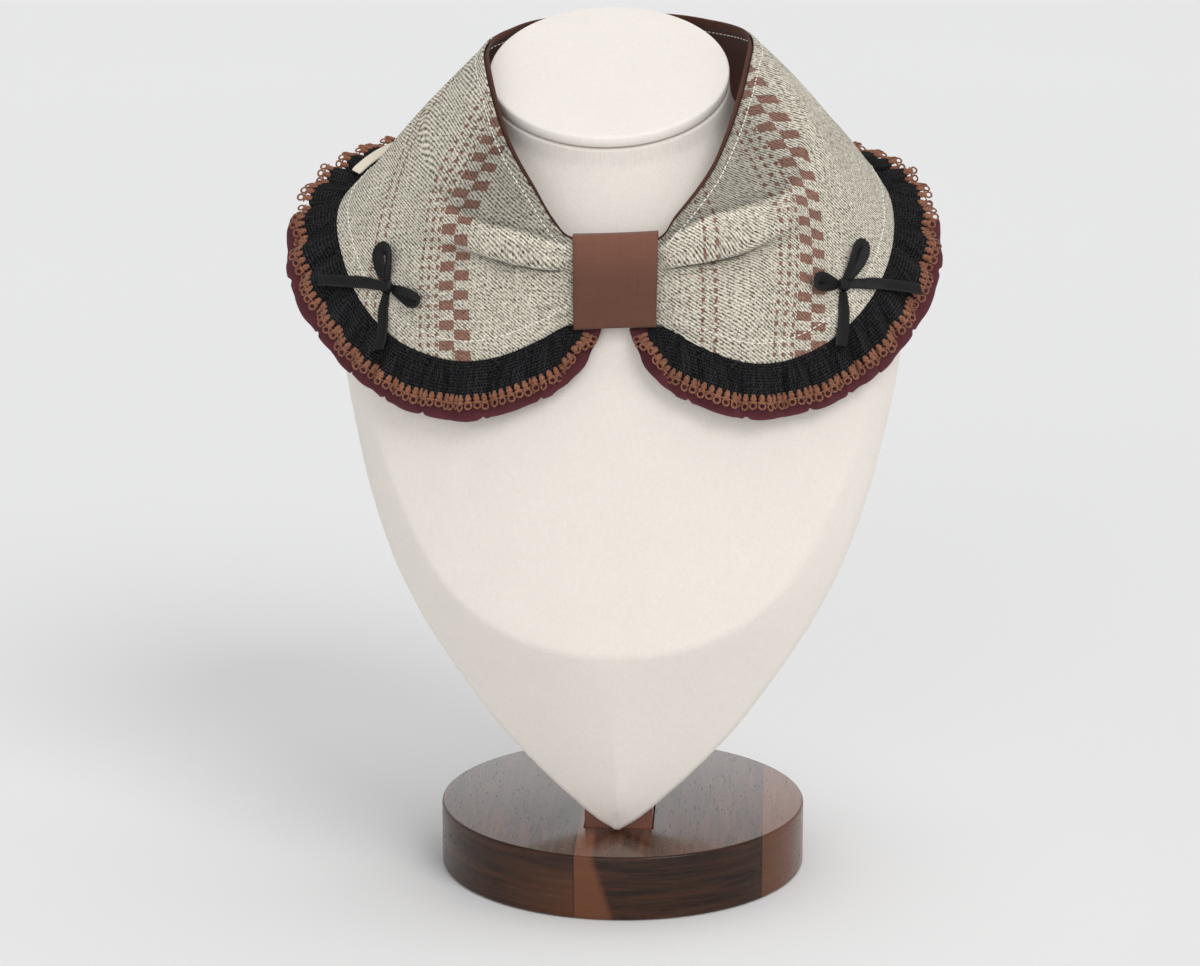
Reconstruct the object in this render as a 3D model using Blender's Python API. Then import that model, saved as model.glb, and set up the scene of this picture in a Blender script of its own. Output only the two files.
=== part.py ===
# A woven collar with a gathered lace edge, on a pointed neck bust with a post and a round base.
# Metres, Z up, the wearer's front towards -Y. The origin is the middle of the base's underside.
# Names that end in _right lie at +X, which is the viewer's right.
import math

import bmesh
import bpy
import numpy as np
from mathutils import Matrix, Vector

MM = 0.001
GAP = 0.3 * MM  # between pieces that meet

# Cloth walls
CLOTH_WALL = 1.2 * MM
LINING_WALL = 1.1 * MM
LACE_WALL = 1.4 * MM
FRILL_WALL = 1.4 * MM
LABEL_WALL = 1.0 * MM

# Widths measured outwards from the seam at the collar's outer edge
LACE_WIDTH = 15.0 * MM
EDGING_WIDTH = 7.0 * MM
RIM_REACH = LACE_WIDTH + EDGING_WIDTH  # where the rim column of the table lies
FRILL_REACH = 26.0 * MM

# The collar is a ring of stations: the front centre, the right side, the centre back, the left side.
# The neck, edge and rim points are in mm. The puff is how far the middle swells out, in mm.
#    neck x,     y,     z,   edge x,     y,     z,    rim x,     y,     z,  puff
FRONT_CENTRE = (
    (0.0, -78.5, 297.6, 0.0, -78.5, 263.4, 0.0, -84.5, 254.5, 0.0),
)
RIGHT_SIDE = (
    (17.2, -78.5, 297.5, 17.2, -78.5, 263.1, 19.0, -87.5, 243.0, 0.0),
    (25.0, -75.0, 306.0, 31.0, -80.5, 256.2, 32.8, -88.0, 236.5, 3.0),
    (33.5, -66.0, 315.0, 46.0, -80.5, 250.0, 47.5, -88.0, 232.0, 5.0),
    (40.5, -57.5, 324.2, 60.0, -78.0, 246.8, 62.0, -85.5, 229.3, 6.0),
    (45.5, -47.5, 334.0, 75.0, -72.0, 248.2, 78.5, -79.0, 230.8, 6.0),
    (49.5, -36.0, 344.0, 91.0, -62.0, 254.8, 97.5, -69.0, 237.0, 5.0),
    (53.0, -21.0, 355.0, 105.5, -47.5, 267.0, 115.0, -54.0, 248.5, 4.0),
    (55.5, -5.0, 365.0, 114.3, -31.0, 281.3, 129.0, -36.5, 265.5, 4.0),
    (56.5, 6.0, 370.2, 117.5, -12.0, 295.0, 135.5, -15.0, 286.0, 3.6),
    (55.0, 17.0, 374.0, 114.5, 9.0, 307.8, 132.0, 12.0, 306.5, 3.2),
    (49.5, 30.0, 375.6, 102.5, 34.0, 316.5, 116.0, 38.5, 317.0, 2.2),
    (40.0, 44.0, 376.4, 81.0, 63.0, 318.0, 93.0, 77.0, 320.0, 2.4),
    (23.0, 60.0, 377.4, 46.0, 88.0, 318.0, 52.0, 106.0, 317.0, 3.4),
)
BACK_CENTRE = (
    (-3.0, 66.0, 378.0, -3.0, 98.0, 318.0, -3.0, 117.0, 314.0, 4.0),
)
LEFT_SIDE = (
    (-27.0, 60.0, 377.2, -50.0, 88.0, 318.0, -57.0, 105.5, 318.0, 3.0),
    (-44.5, 44.0, 376.0, -86.0, 62.0, 318.0, -99.0, 75.0, 322.0, 1.0),
    (-54.0, 28.0, 373.8, -107.5, 30.0, 315.5, -122.5, 38.0, 318.5, 0.0),
    (-60.0, 17.0, 371.2, -121.0, 6.0, 306.5, -140.5, 9.0, 306.0, 0.0),
    (-61.8, 5.0, 367.6, -125.0, -9.0, 296.0, -145.0, -10.0, 286.5, 1.0),
    (-60.5, -8.0, 363.0, -120.0, -29.0, 281.0, -137.0, -33.0, 265.5, 2.5),
    (-57.5, -21.5, 355.0, -110.0, -47.0, 265.5, -121.0, -52.5, 248.5, 4.0),
    (-53.0, -36.0, 344.0, -95.0, -61.0, 253.3, -101.5, -67.5, 234.6, 5.0),
    (-48.5, -47.0, 335.1, -78.0, -71.0, 247.5, -81.5, -78.5, 228.6, 6.0),
    (-43.0, -56.5, 326.6, -62.0, -77.5, 246.5, -64.0, -85.5, 227.4, 6.0),
    (-35.5, -66.0, 317.0, -46.0, -80.5, 250.0, -47.5, -88.0, 231.5, 5.0),
    (-26.5, -75.0, 304.8, -31.0, -80.5, 256.5, -32.5, -88.0, 236.5, 3.0),
    (-17.4, -78.5, 297.5, -17.2, -78.5, 263.1, -19.0, -87.5, 243.0, 0.0),
)
RING = np.array(FRONT_CENTRE + RIGHT_SIDE + BACK_CENTRE + LEFT_SIDE)
RING_STATIONS = len(RING)
BACK_STATION = RING_STATIONS // 2

# The rolled fold that each side is gathered into at the band, and the crease under it.
# Stations count from the front centre, places go from 0 at the neck edge to 1 at the outer edge.
#   station, ridge place, ridge height mm, crease place, crease depth mm
ROLL_RIGHT = (
    (0.0, 0.05, 0.5, 0.34, 0.5),
    (1.05, 0.05, 0.6, 0.34, 0.6),
    (2.0, 0.09, 3.6, 0.36, 3.0),
    (3.0, 0.15, 5.2, 0.39, 3.6),
    (4.0, 0.23, 4.8, 0.43, 3.0),
    (5.0, 0.31, 3.6, 0.47, 2.2),
    (6.0, 0.38, 2.2, 0.52, 1.2),
    (7.0, 0.43, 0.8, 0.57, 0.3),
    (8.0, 0.45, 0.0, 0.60, 0.0),
)
ROLL_LEFT = (
    (0.0, 0.05, 0.5, 0.35, 0.5),
    (1.05, 0.05, 0.6, 0.35, 0.6),
    (2.0, 0.15, 3.4, 0.39, 3.0),
    (3.0, 0.27, 4.6, 0.44, 3.6),
    (4.0, 0.34, 3.8, 0.47, 2.6),
    (5.0, 0.38, 2.4, 0.51, 1.6),
    (6.0, 0.42, 1.0, 0.57, 0.8),
    (7.0, 0.45, 0.0, 0.60, 0.0),
)
RIDGE_HALF_WIDTH = 0.10  # as a share of the way across
CREASE_HALF_WIDTH = 0.07

# Cloth grids: cells along the half ring and across it
RING_CELLS = 34
CLOTH_CELLS, LINING_CELLS = 11, 5  # across
LINING_FROM = -0.012  # the lining stands just past the outer cloth at the neck edge
LINING_TO = 0.96
FRONT_SEAM = 0.009  # half the gap between the halves, in stations
BACK_SEAM = 0.006

# Gathers of the lace, along its seam
WAVE_PITCH = 13.5 * MM
WAVE_HEIGHT = 2.1 * MM
WAVE_FULL_AT = 12.0 * MM  # distance from the seam where the waves reach their height
WAVE_COLUMNS = 4  # cells to each wave
LACE_FROM = 0.33  # station, on either side of the front centre
FRILL_TO = 9.6
SEAM_UNDER_BAND = 2.5 * MM  # the lace starts this much lower where it hangs from the band

# The centre band, a flat sleeve round the gathered cloth
BAND_HALF_WIDTH = 17.4 * MM
BAND_BOTTOM, BAND_TOP = 261.0 * MM, 300.5 * MM
BAND_FRONT, BAND_BACK = -80.9 * MM, -72.3 * MM
BAND_WALL = 1.3 * MM

# Bust sections in mm: height, half width, and y of the side wall's front, its back and the middle of
# the back.
#   z,  half,  edge, edge_b, back
BUST_ROWS = (
    (32.6, 2.8, -56.0, -34.0, -32.0),
    (36.0, 8.0, -57.0, -28.0, -25.0),
    (41.0, 14.1, -57.5, -18.0, -15.0),
    (48.0, 21.6, -58.0, -8.0, -3.0),
    (56.0, 29.8, -58.5, 3.0, 7.0),
    (64.0, 37.4, -59.0, 12.0, 16.0),
    (73.0, 45.6, -59.5, 20.0, 24.0),
    (82.0, 53.1, -60.0, 26.0, 30.0),
    (91.0, 59.6, -60.5, 32.0, 36.0),
    (100.0, 65.7, -61.0, 35.0, 39.0),
    (109.0, 71.7, -61.5, 37.0, 41.0),
    (117.0, 76.8, -61.5, 39.0, 43.0),
    (123.0, 80.6, -61.5, 39.5, 44.0),
    (126.3, 82.7, -61.5, 39.7, 44.2),
    (129.0, 84.3, -61.0, 40.0, 44.4),
    (133.0, 86.5, -60.5, 40.5, 44.6),
    (138.0, 89.0, -60.0, 41.0, 45.0),
    (146.0, 93.2, -59.0, 41.5, 45.5),
    (157.0, 98.1, -57.0, 42.0, 46.0),
    (171.0, 103.3, -54.0, 42.0, 46.5),
    (188.0, 108.9, -49.0, 42.0, 47.0),
    (206.0, 113.7, -42.0, 41.0, 47.0),
    (225.0, 118.1, -36.0, 40.0, 47.0),
    (245.0, 121.2, -31.0, 38.0, 47.0),
    (267.0, 121.8, -25.0, 34.0, 47.0),
)
# The crest between the flat chest and its sloping lower edge, on one side, in mm
#   x,     z
CREST = (
    (0.0, 126.0),
    (14.0, 126.4),
    (29.0, 128.6),
    (43.0, 132.6),
    (55.0, 138.0),
    (67.0, 146.0),
    (76.5, 156.0),
    (84.5, 168.0),
    (91.0, 180.0),
    (98.0, 195.0),
    (103.5, 211.0),
    (106.5, 226.0),
    (107.5, 246.0),
    (104.0, 267.0),
)
CHEST_TOP = (285.0, -66.0)  # height and y of the chest's middle, in mm
CHEST_SLOPE = 0.25
CHEST_BOW = 190.0  # mm, radius of the chest's front across its middle
BEVEL_POWER = 1.1
EDGE_ROUND = 3.0  # mm, how far the front turns back at the side wall
INNER_SHARES = (0.0, 0.2, 0.4, 0.6, 0.8)  # of the way from the middle to the crest
OUTER_SHARES = (0.0, 0.3, 0.6, 0.85, 1.0)  # of the way from the crest to the side
CREST_SHARES = (0.55, 0.88)  # least and most of the half width that a section's crest column takes

# Shoulder and neck sections in mm: height, half width, shift to the viewer's left, front, back, edge
# front, edge back, roundness from 0 for the chest's section to 1 for an ellipse, and slant.
#   z,    half, shift, front, back, edge, edge_b, round, slant
SHOULDER_ROWS = (
    (281.0, 118.0, 0.0, -67.0, 47.0, -20.0, 30.0, 0.0, 0.0),
    (291.0, 110.5, 0.6, -63.5, 47.0, -16.0, 26.0, 0.15, 0.04),
    (301.0, 100.0, 1.4, -60.0, 47.0, -13.0, 23.0, 0.35, 0.12),
    (311.0, 88.0, 2.3, -56.5, 47.0, -11.0, 20.0, 0.55, 0.22),
    (321.0, 75.5, 3.2, -53.0, 47.0, -9.0, 16.0, 0.75, 0.36),
    (331.0, 64.0, 4.2, -50.0, 47.0, -7.0, 10.0, 0.9, 0.55),
    (339.0, 56.5, 5.0, -48.0, 47.0, -5.0, 6.0, 1.0, 0.72),
    (346.0, 53.0, 5.8, -47.0, 47.0, -3.0, 3.0, 1.0, 0.88),
    (354.7, 52.2, 6.5, -47.0, 47.0, -3.0, 3.0, 1.0, 1.0),
)
NECK_HALF_WIDTH = 52.2 * MM
NECK_HALF_DEPTH = 47.0 * MM
NECK_SHIFT = -6.5 * MM
NECK_SLANT = math.radians(26.5)
CAP_THICKNESS = 5.0 * MM
CAP_MIDDLE = 355.0 * MM  # height of its underside at the middle of the neck
FRONT_CELLS, BACK_CELLS = 9, 6  # of half a bust section

# Base and post
BASE_RADIUS = 82.5 * MM
BASE_THICKNESS = 29.0 * MM
BASE_EDGE = 1.2 * MM
POST_WIDTH = 30.0 * MM
POST_FRONT, POST_BACK = -44.0 * MM, -8.0 * MM
POST_FOOT = 12.0 * MM  # height of the bottom of its mortise in the base
POST_HEAD = 92.0 * MM
MORTISE_CLEARANCE = 0.5 * MM

# Ribbon bows, as seen from the front, in mm from the knot: x to the right and z up. Each row is one
# point of the ribbon's middle line, with its width and how far it stands off the cloth.
RIBBON_WALL = 1.0 * MM
KNOT_SIZE = (5.6 * MM, 5.6 * MM, 3.4 * MM)
KNOT_LIFT = 0.7 * MM
#        x,    z, width, lift
LEFT_LOOP_UP = (
    (-1.6, 3.4, 1.6, 0.5), (-3.2, 8.0, 3.2, 1.2), (-4.6, 14.0, 3.8, 2.2), (-4.3, 19.0, 3.8, 2.8),
    (-1.8, 21.6, 3.8, 3.0), (0.6, 19.2, 3.8, 2.8), (0.6, 14.0, 3.6, 2.2), (0.4, 8.0, 2.6, 1.2),
    (0.6, 3.6, 1.4, 0.5),
)
LEFT_LOOP_SIDE = (
    (3.6, 0.6, 1.6, 0.5), (7.5, -0.4, 3.4, 1.4), (12.5, -3.0, 4.2, 2.2), (16.2, -6.2, 4.2, 2.4),
    (15.6, -10.6, 4.0, 2.2), (11.4, -9.4, 3.8, 2.0), (7.0, -6.0, 2.8, 1.4), (3.8, -2.2, 1.6, 0.5),
)
LEFT_TAIL_SIDE = (
    (-3.7, 0.2, 3.2, 0.6), (-10.0, 1.0, 4.8, 1.0), (-18.0, 1.8, 5.0, 1.6), (-26.0, 3.0, 5.0, 3.4),
    (-33.5, 2.6, 4.8, 4.6),
)
LEFT_TAIL_DOWN = (
    (-0.6, -3.7, 3.4, 0.6), (-0.8, -10.0, 4.8, 0.9), (-0.8, -18.0, 5.0, 1.2), (-1.4, -26.5, 5.0, 2.6),
    (-1.8, -34.0, 4.8, 3.8),
)
RIGHT_LOOP_UP = (
    (0.4, 3.5, 1.6, 0.5), (1.0, 9.0, 3.2, 1.4), (2.0, 15.0, 4.2, 2.4), (4.2, 20.4, 4.2, 2.8),
    (8.8, 20.4, 4.0, 2.8), (7.6, 15.0, 3.6, 2.2), (5.4, 9.0, 2.4, 1.4), (2.8, 3.9, 1.4, 0.5),
)
RIGHT_LOOP_SIDE = (
    (-3.6, 0.8, 1.6, 0.5), (-8.0, 1.6, 3.4, 1.4), (-13.0, 2.6, 4.2, 2.2), (-17.4, 1.6, 4.2, 2.4),
    (-17.8, -2.8, 4.0, 2.4), (-13.0, -3.4, 3.6, 2.0), (-8.0, -2.6, 2.4, 1.2), (-3.8, -1.4, 1.4, 0.5),
)
RIGHT_TAIL_SIDE = (
    (3.7, 0.2, 3.2, 0.6), (10.0, 0.8, 4.8, 1.0), (18.0, 0.4, 5.0, 1.6), (26.0, -1.4, 5.0, 3.4),
    (33.0, -3.4, 4.8, 4.6),
)
RIGHT_TAIL_DOWN = (
    (-0.4, -3.7, 3.4, 0.6), (-0.6, -10.0, 4.8, 0.9), (-0.8, -18.0, 5.0, 1.4), (-1.6, -25.0, 5.0, 2.8),
    (-2.4, -31.0, 4.8, 4.0),
)
BOWS = {
    "bow_left": {
        "knot": (-98.6, 271.4),
        "loop_up": LEFT_LOOP_UP,
        "loop_side": LEFT_LOOP_SIDE,
        "tail_side": LEFT_TAIL_SIDE,
        "tail_down": LEFT_TAIL_DOWN,
    },
    "bow_right": {
        "knot": (97.6, 276.2),
        "loop_up": RIGHT_LOOP_UP,
        "loop_side": RIGHT_LOOP_SIDE,
        "tail_side": RIGHT_TAIL_SIDE,
        "tail_down": RIGHT_TAIL_DOWN,
    },
}

LABEL_STATIONS = (10.6, 11.5)  # on the left side
LABEL_REACH = 3.6 * MM

# Colours are linear, then roughness
FINISHES = {
    "woven cloth": ((0.42, 0.39, 0.33), 0.9),
    "lining": ((0.16, 0.055, 0.035), 0.85),
    "brown band": ((0.15, 0.06, 0.038), 0.85),
    "black lace": ((0.012, 0.012, 0.014), 0.8),
    "brown edging": ((0.37, 0.14, 0.08), 0.8),
    "burgundy": ((0.09, 0.022, 0.027), 0.8),
    "black ribbon": ((0.012, 0.012, 0.013), 0.4),
    "label": ((0.72, 0.66, 0.55), 0.7),
    "bust cover": ((0.78, 0.71, 0.65), 0.95),
    "walnut": ((0.1, 0.045, 0.028), 0.45),
}


def clear_scene():
    for thing in list(bpy.data.objects):
        bpy.data.objects.remove(thing, do_unlink=True)


def finish(name):
    found = bpy.data.materials.get(name)
    if found:
        return found
    colour, roughness = FINISHES[name]
    made = bpy.data.materials.new(name)
    made.use_nodes = True
    shader = made.node_tree.nodes["Principled BSDF"]
    shader.inputs["Base Color"].default_value = (*colour, 1.0)
    shader.inputs["Roughness"].default_value = roughness
    shader.inputs["Metallic"].default_value = 0.0
    return made


def add_mesh(collection, name, points, faces, finish_name):
    mesh = bpy.data.meshes.new(name)
    mesh.from_pydata([tuple(map(float, point)) for point in points], [], faces)
    work = bmesh.new()
    work.from_mesh(mesh)
    bmesh.ops.recalc_face_normals(work, faces=work.faces)
    work.to_mesh(mesh)
    work.free()
    mesh.materials.append(finish(finish_name))
    made = bpy.data.objects.new(name, mesh)
    collection.objects.link(made)
    return made


def cutter_box(name, low, high):
    work = bmesh.new()
    bmesh.ops.create_cube(work, size=1.0)
    middle = [(a + b) / 2 for a, b in zip(low, high)]
    size = [b - a for a, b in zip(low, high)]
    bmesh.ops.scale(work, vec=size, verts=work.verts)
    bmesh.ops.translate(work, vec=middle, verts=work.verts)
    mesh = bpy.data.meshes.new(name)
    work.to_mesh(mesh)
    work.free()
    made = bpy.data.objects.new(name, mesh)
    made.hide_render = True
    made.display_type = "WIRE"
    return made


def cut(target, cutter):
    step = target.modifiers.new("cut " + cutter.name, "BOOLEAN")
    step.operation = "DIFFERENCE"
    step.object = cutter


# The collar's ring of sections


def on_ring(station, columns):
    """Smooth curve through the ring's rows, at any station, in metres. Stations wrap round."""
    station = np.atleast_1d(np.asarray(station, float))
    first = np.floor(station).astype(int)
    part = (station - first)[:, None]
    before, start, end, after = (RING[(first + step) % RING_STATIONS][:, columns] for step in (-1, 0, 1, 2))
    curve = 2 * start + (end - before) * part
    curve = curve + (2 * before - 5 * start + 4 * end - after) * part**2
    curve = curve + (3 * start - before - 3 * end + after) * part**3
    return curve / 2 * MM


def neck_at(station):
    return on_ring(station, slice(0, 3))


def edge_at(station):
    return on_ring(station, slice(3, 6))


def rim_at(station):
    return on_ring(station, slice(6, 9))


def puff_at(station):
    return on_ring(station, slice(9, 10))[:, 0]


def from_front(station):
    """Stations from the front centre, and +1 on the right side or -1 on the left."""
    station = np.atleast_1d(np.asarray(station, float)) % RING_STATIONS
    right = station <= BACK_STATION
    return np.where(right, station, RING_STATIONS - station), np.where(right, 1, -1)


def hump(place, middle, half_width):
    return np.exp(-(((place - middle) / half_width) ** 2))


def roll_rows(station):
    """The roll at each station: ridge place, ridge height, crease place and crease depth."""
    away, side = from_front(station)
    right, left = (
        [np.interp(away, column[0], values) for values in column[1:]]
        for column in (list(zip(*ROLL_RIGHT)), list(zip(*ROLL_LEFT)))
    )
    return [np.where(side > 0, a, b) for a, b in zip(right, left)]


def roll_height(station, place):
    """Height of the rolled fold and its crease above the plain surface, in metres."""
    ridge, rise, crease, depth = roll_rows(station)
    fold = rise * hump(place, ridge, RIDGE_HALF_WIDTH) - depth * hump(place, crease, CREASE_HALF_WIDTH)
    return fold * MM


def unit(vectors):
    return vectors / np.linalg.norm(vectors, axis=-1, keepdims=True)


def outward(station):
    """Unit direction out of the cloth, away from the wearer, at each station."""
    step = 0.02
    after, before = (neck_at(at) + edge_at(at) for at in (station + step, station - step))
    across = edge_at(station) - neck_at(station)
    return unit(np.cross(across, after - before))


def plain_point(station, place, height):
    """Point at a height above the ring's plain surface, without its roll."""
    station = np.atleast_1d(np.asarray(station, float))
    neck, edge = neck_at(station), edge_at(station)
    within = min(max(place, 0.0), 1.0)
    swell = puff_at(station) * 4 * within * (1 - within)
    return neck + (edge - neck) * place + outward(station) * (swell + height)[:, None]


def cloth_point(station, place, under=0.0):
    """Point of the outer cloth; under is the depth below its outer face."""
    return plain_point(station, place, roll_height(station, place) - under)


def lining_point(station, place, under):
    """Point of the lining, which passes below the crease and doesn't follow the roll."""
    depth = roll_rows(station)[3] * MM
    return plain_point(station, place, -depth - under)


def sheet(name, collection, upper, lower, finish_name):
    """Closed wall between two grids of points of the same shape."""
    rows, columns = upper.shape[:2]
    points = np.concatenate([upper.reshape(-1, 3), lower.reshape(-1, 3)])
    below = rows * columns

    def at(row, column):
        return row * columns + column

    faces = []
    for row in range(rows - 1):
        for column in range(columns - 1):
            corners = [at(row, column), at(row + 1, column), at(row + 1, column + 1), at(row, column + 1)]
            for three in (corners[:3], [corners[0], *corners[2:]]):
                faces.append(tuple(three))
                faces.append(tuple(below + corner for corner in reversed(three)))
    rim = [at(row, 0) for row in range(rows)]
    rim += [at(rows - 1, column) for column in range(1, columns)]
    rim += [at(row, columns - 1) for row in range(rows - 2, -1, -1)]
    rim += [at(0, column) for column in range(columns - 2, 0, -1)]
    for here, there in zip(rim, rim[1:] + rim[:1]):
        faces.append((there, here, below + here, below + there))
    return add_mesh(collection, name, points, faces, finish_name)


def half_stations(side, start, end, count):
    stations = np.linspace(start, end, count)
    return stations if side > 0 else RING_STATIONS - stations


def cloth_half(collection, side, name, point_of, places, under, wall, finish_name):
    stations = half_stations(side, FRONT_SEAM, BACK_STATION - BACK_SEAM, RING_CELLS + 1)
    grids = [
        np.stack([point_of(stations, place, depth) for place in places], axis=1)
        for depth in (under, under + wall)
    ]
    return sheet(name, collection, grids[0], grids[1], finish_name)


# Gathers


def seam_at(station):
    """Where the lace is sewn on: the outer edge, and a little lower where it hangs from the band."""
    away, _ = from_front(station)
    drop = SEAM_UNDER_BAND * np.clip((1.45 - away) / 0.35, 0, 1)
    seam = edge_at(station)
    seam[:, 2] -= drop
    return seam


def wave_count(length):
    """Waves up to this distance along the seam. The pitch is uneven, as hand gathers are."""
    sway = 0.22 * np.sin(length / (9.5 * MM) * 0.62) + 0.16 * np.sin(length / (21 * MM) + 1.3)
    return length / WAVE_PITCH + sway


def seam_table(side):
    stations = half_stations(side, LACE_FROM, BACK_STATION - BACK_SEAM, 1200)
    steps = np.linalg.norm(np.diff(seam_at(stations), axis=0), axis=1)
    return stations, np.concatenate([[0.0], np.cumsum(steps)])


def gathered_stations(side, last_station):
    """Stations at each quarter wave along the seam, with the count of waves at each."""
    stations, lengths = seam_table(side)
    away, _ = from_front(stations)
    counts = np.maximum.accumulate(wave_count(lengths))
    last = np.interp(last_station, away, counts)
    steps = int(math.floor((last - counts[0]) * WAVE_COLUMNS))
    wanted = counts[0] + np.arange(steps + 1) / WAVE_COLUMNS
    if last_station > BACK_STATION - 1:
        wanted[-1] = last
    return np.interp(wanted, counts, stations), wanted


def ruffle_out(station):
    step = 0.02
    along = seam_at(station + step) - seam_at(station - step)
    return unit(np.cross(rim_at(station) - seam_at(station), along))


def gather_point(station, count, reach, under, slack=0.0):
    """Point of the gathered lace; slack lowers it between the waves, as the frill hangs."""
    seam, rim = seam_at(station), rim_at(station)
    turn = 2 * math.pi * count
    full = np.clip(reach / WAVE_FULL_AT, 0, 1)
    full = full * full * (3 - 2 * full)
    uneven = 0.8 + 0.3 * np.sin(1.7 * count + 0.6)
    wave = WAVE_HEIGHT * full * uneven * np.cos(turn)
    loose = slack * full * (0.5 - 0.5 * np.cos(turn * 0.5 + 0.8))
    share = reach / RIM_REACH * (1 + 0.035 * full * np.cos(turn))
    return seam + (rim - seam) * share[:, None] + ruffle_out(station) * (wave - loose - under)[:, None]


def gathered(collection, side, name, last_station, reaches, under, wall, finish_name, slack=0.0):
    stations, counts = gathered_stations(side, last_station)
    grids = []
    for depth in (under, under + wall):
        lines = [
            gather_point(stations, counts, np.full(len(stations), reach), depth, slack) for reach in reaches
        ]
        grids.append(np.stack(lines, axis=1))
    return sheet(name, collection, grids[0], grids[1], finish_name)


def add_collar(collection):
    lace_under = 0.2 * MM
    frill_under = lace_under + LACE_WALL + 1.5 * GAP
    lace_lines = (2 * GAP, LACE_WIDTH / 2, LACE_WIDTH)
    cloth_lines = np.linspace(0, 1, CLOTH_CELLS + 1)
    lining_lines = np.linspace(LINING_FROM, LINING_TO, LINING_CELLS + 1)
    last = BACK_STATION - BACK_SEAM
    for side, word in ((1, "right"), (-1, "left")):
        cloth_half(
            collection, side, "cloth_" + word, cloth_point, cloth_lines, 0.0, CLOTH_WALL, "woven cloth",
        )
        cloth_half(
            collection, side, "lining_" + word, lining_point, lining_lines,
            CLOTH_WALL + 1.5 * GAP, LINING_WALL, "lining",
        )
        gathered(
            collection, side, "lace_" + word, last, lace_lines, lace_under, LACE_WALL, "black lace",
        )
        gathered(
            collection, side, "edging_" + word, last, (LACE_WIDTH + 2 * GAP, RIM_REACH),
            lace_under, LACE_WALL, "brown edging",
        )
        gathered(
            collection, side, "frill_" + word, FRILL_TO, (3 * GAP, *lace_lines[1:], FRILL_REACH),
            frill_under, FRILL_WALL, "burgundy", slack=1.2 * MM,
        )


def add_band(collection):
    """A flat sleeve, open at both sides, which the gathered cloth runs through."""
    low, high = (BAND_FRONT, BAND_BOTTOM), (BAND_BACK, BAND_TOP)
    corner = 1.0 * MM
    outlines = []
    for inset in (0.0, BAND_WALL):
        y0, z0 = low[0] + inset, low[1] + inset
        y1, z1 = high[0] - inset, high[1] - inset
        bend = max(corner - inset * 0.6, 0.3 * MM)
        outlines.append([
            (y0 + bend, z0), (y1 - bend, z0), (y1, z0 + bend), (y1, z1 - bend),
            (y1 - bend, z1), (y0 + bend, z1), (y0, z1 - bend), (y0, z0 + bend),
        ])
    points, faces = [], []
    for x in (-BAND_HALF_WIDTH, BAND_HALF_WIDTH):
        for outline in outlines:
            points += [(x, y, z) for y, z in outline]
    count = len(outlines[0])
    for here in range(count):
        there = (here + 1) % count
        outer, inner = (here, there), (count + here, count + there)
        faces.append((outer[0], outer[1], outer[1] + 2 * count, outer[0] + 2 * count))
        faces.append((inner[1], inner[0], inner[0] + 2 * count, inner[1] + 2 * count))
        faces.append((outer[1], outer[0], inner[0], inner[1]))
        faces.append(tuple(corner + 2 * count for corner in (*outer, *reversed(inner))))
    add_mesh(collection, "centre_band", points, faces, "brown band")


def add_label(collection):
    """A plain folded label caught in the outer edge, over the lace."""
    stations = RING_STATIONS - np.linspace(*LABEL_STATIONS, 6)
    seam, rim, out = seam_at(stations), rim_at(stations), ruffle_out(stations)
    grids = []
    for lift in (4.4 * MM, 4.4 * MM - LABEL_WALL):
        lines = []
        for reach in (GAP, LABEL_REACH):
            share = reach / RIM_REACH
            rise = lift * (0.35 + 0.65 * reach / LABEL_REACH)
            lines.append(seam + (rim - seam) * share + out * rise)
        grids.append(np.stack(lines, axis=1))
    sheet("side_label", collection, grids[0], grids[1], "label")


# Ribbon bows


class FrontSurface:
    """Finds the cloth, or the lace beyond it, behind a place seen from the front."""

    def __init__(self, side):
        stations = half_stations(side, 3.0, 11.0, 161)
        out, ruffle = outward(stations), ruffle_out(stations)
        points, outs = [], []
        for place in np.linspace(0.3, 1.0, 57):
            points.append(cloth_point(stations, place))
            outs.append(out)
        for share in np.linspace(0.03, 1.0, 25):
            points.append(seam_at(stations) + (rim_at(stations) - seam_at(stations)) * share)
            outs.append(unit(out * (1 - share) + ruffle * share))
        self.points, self.outs = np.concatenate(points), np.concatenate(outs)

    def above(self, x, z, lift):
        apart = (self.points[:, 0] - x) ** 2 + (self.points[:, 2] - z) ** 2
        near = np.argsort(apart)[:6]
        weight = 1 / (apart[near] + 1e-8)
        weight = weight / weight.sum()
        out = unit((self.outs[near] * weight[:, None]).sum(axis=0))
        point = (self.points[near] * weight[:, None]).sum(axis=0)
        return point + out * lift, out


def ribbon(collection, name, surface, knot, rows):
    """A flat ribbon along rows of x, z, width and lift, seen from the front."""
    middle, outs = [], []
    for x, z, _, lift in rows:
        point, out = surface.above(knot[0] + x * MM, knot[1] + z * MM, lift * MM)
        middle.append(point)
        outs.append(out)
    middle, outs = np.array(middle), np.array(outs)
    heading = unit(np.gradient(middle, axis=0))
    outs = unit(outs - heading * (outs * heading).sum(axis=1, keepdims=True))
    sideways = np.cross(heading, outs)
    widths = np.array([row[2] for row in rows])[:, None] * MM / 2
    upper = np.stack([middle - sideways * widths, middle + sideways * widths], axis=1)
    upper = upper + outs[:, None] * RIBBON_WALL
    return sheet(name, collection, upper, upper - outs[:, None] * RIBBON_WALL, "black ribbon")


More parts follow.
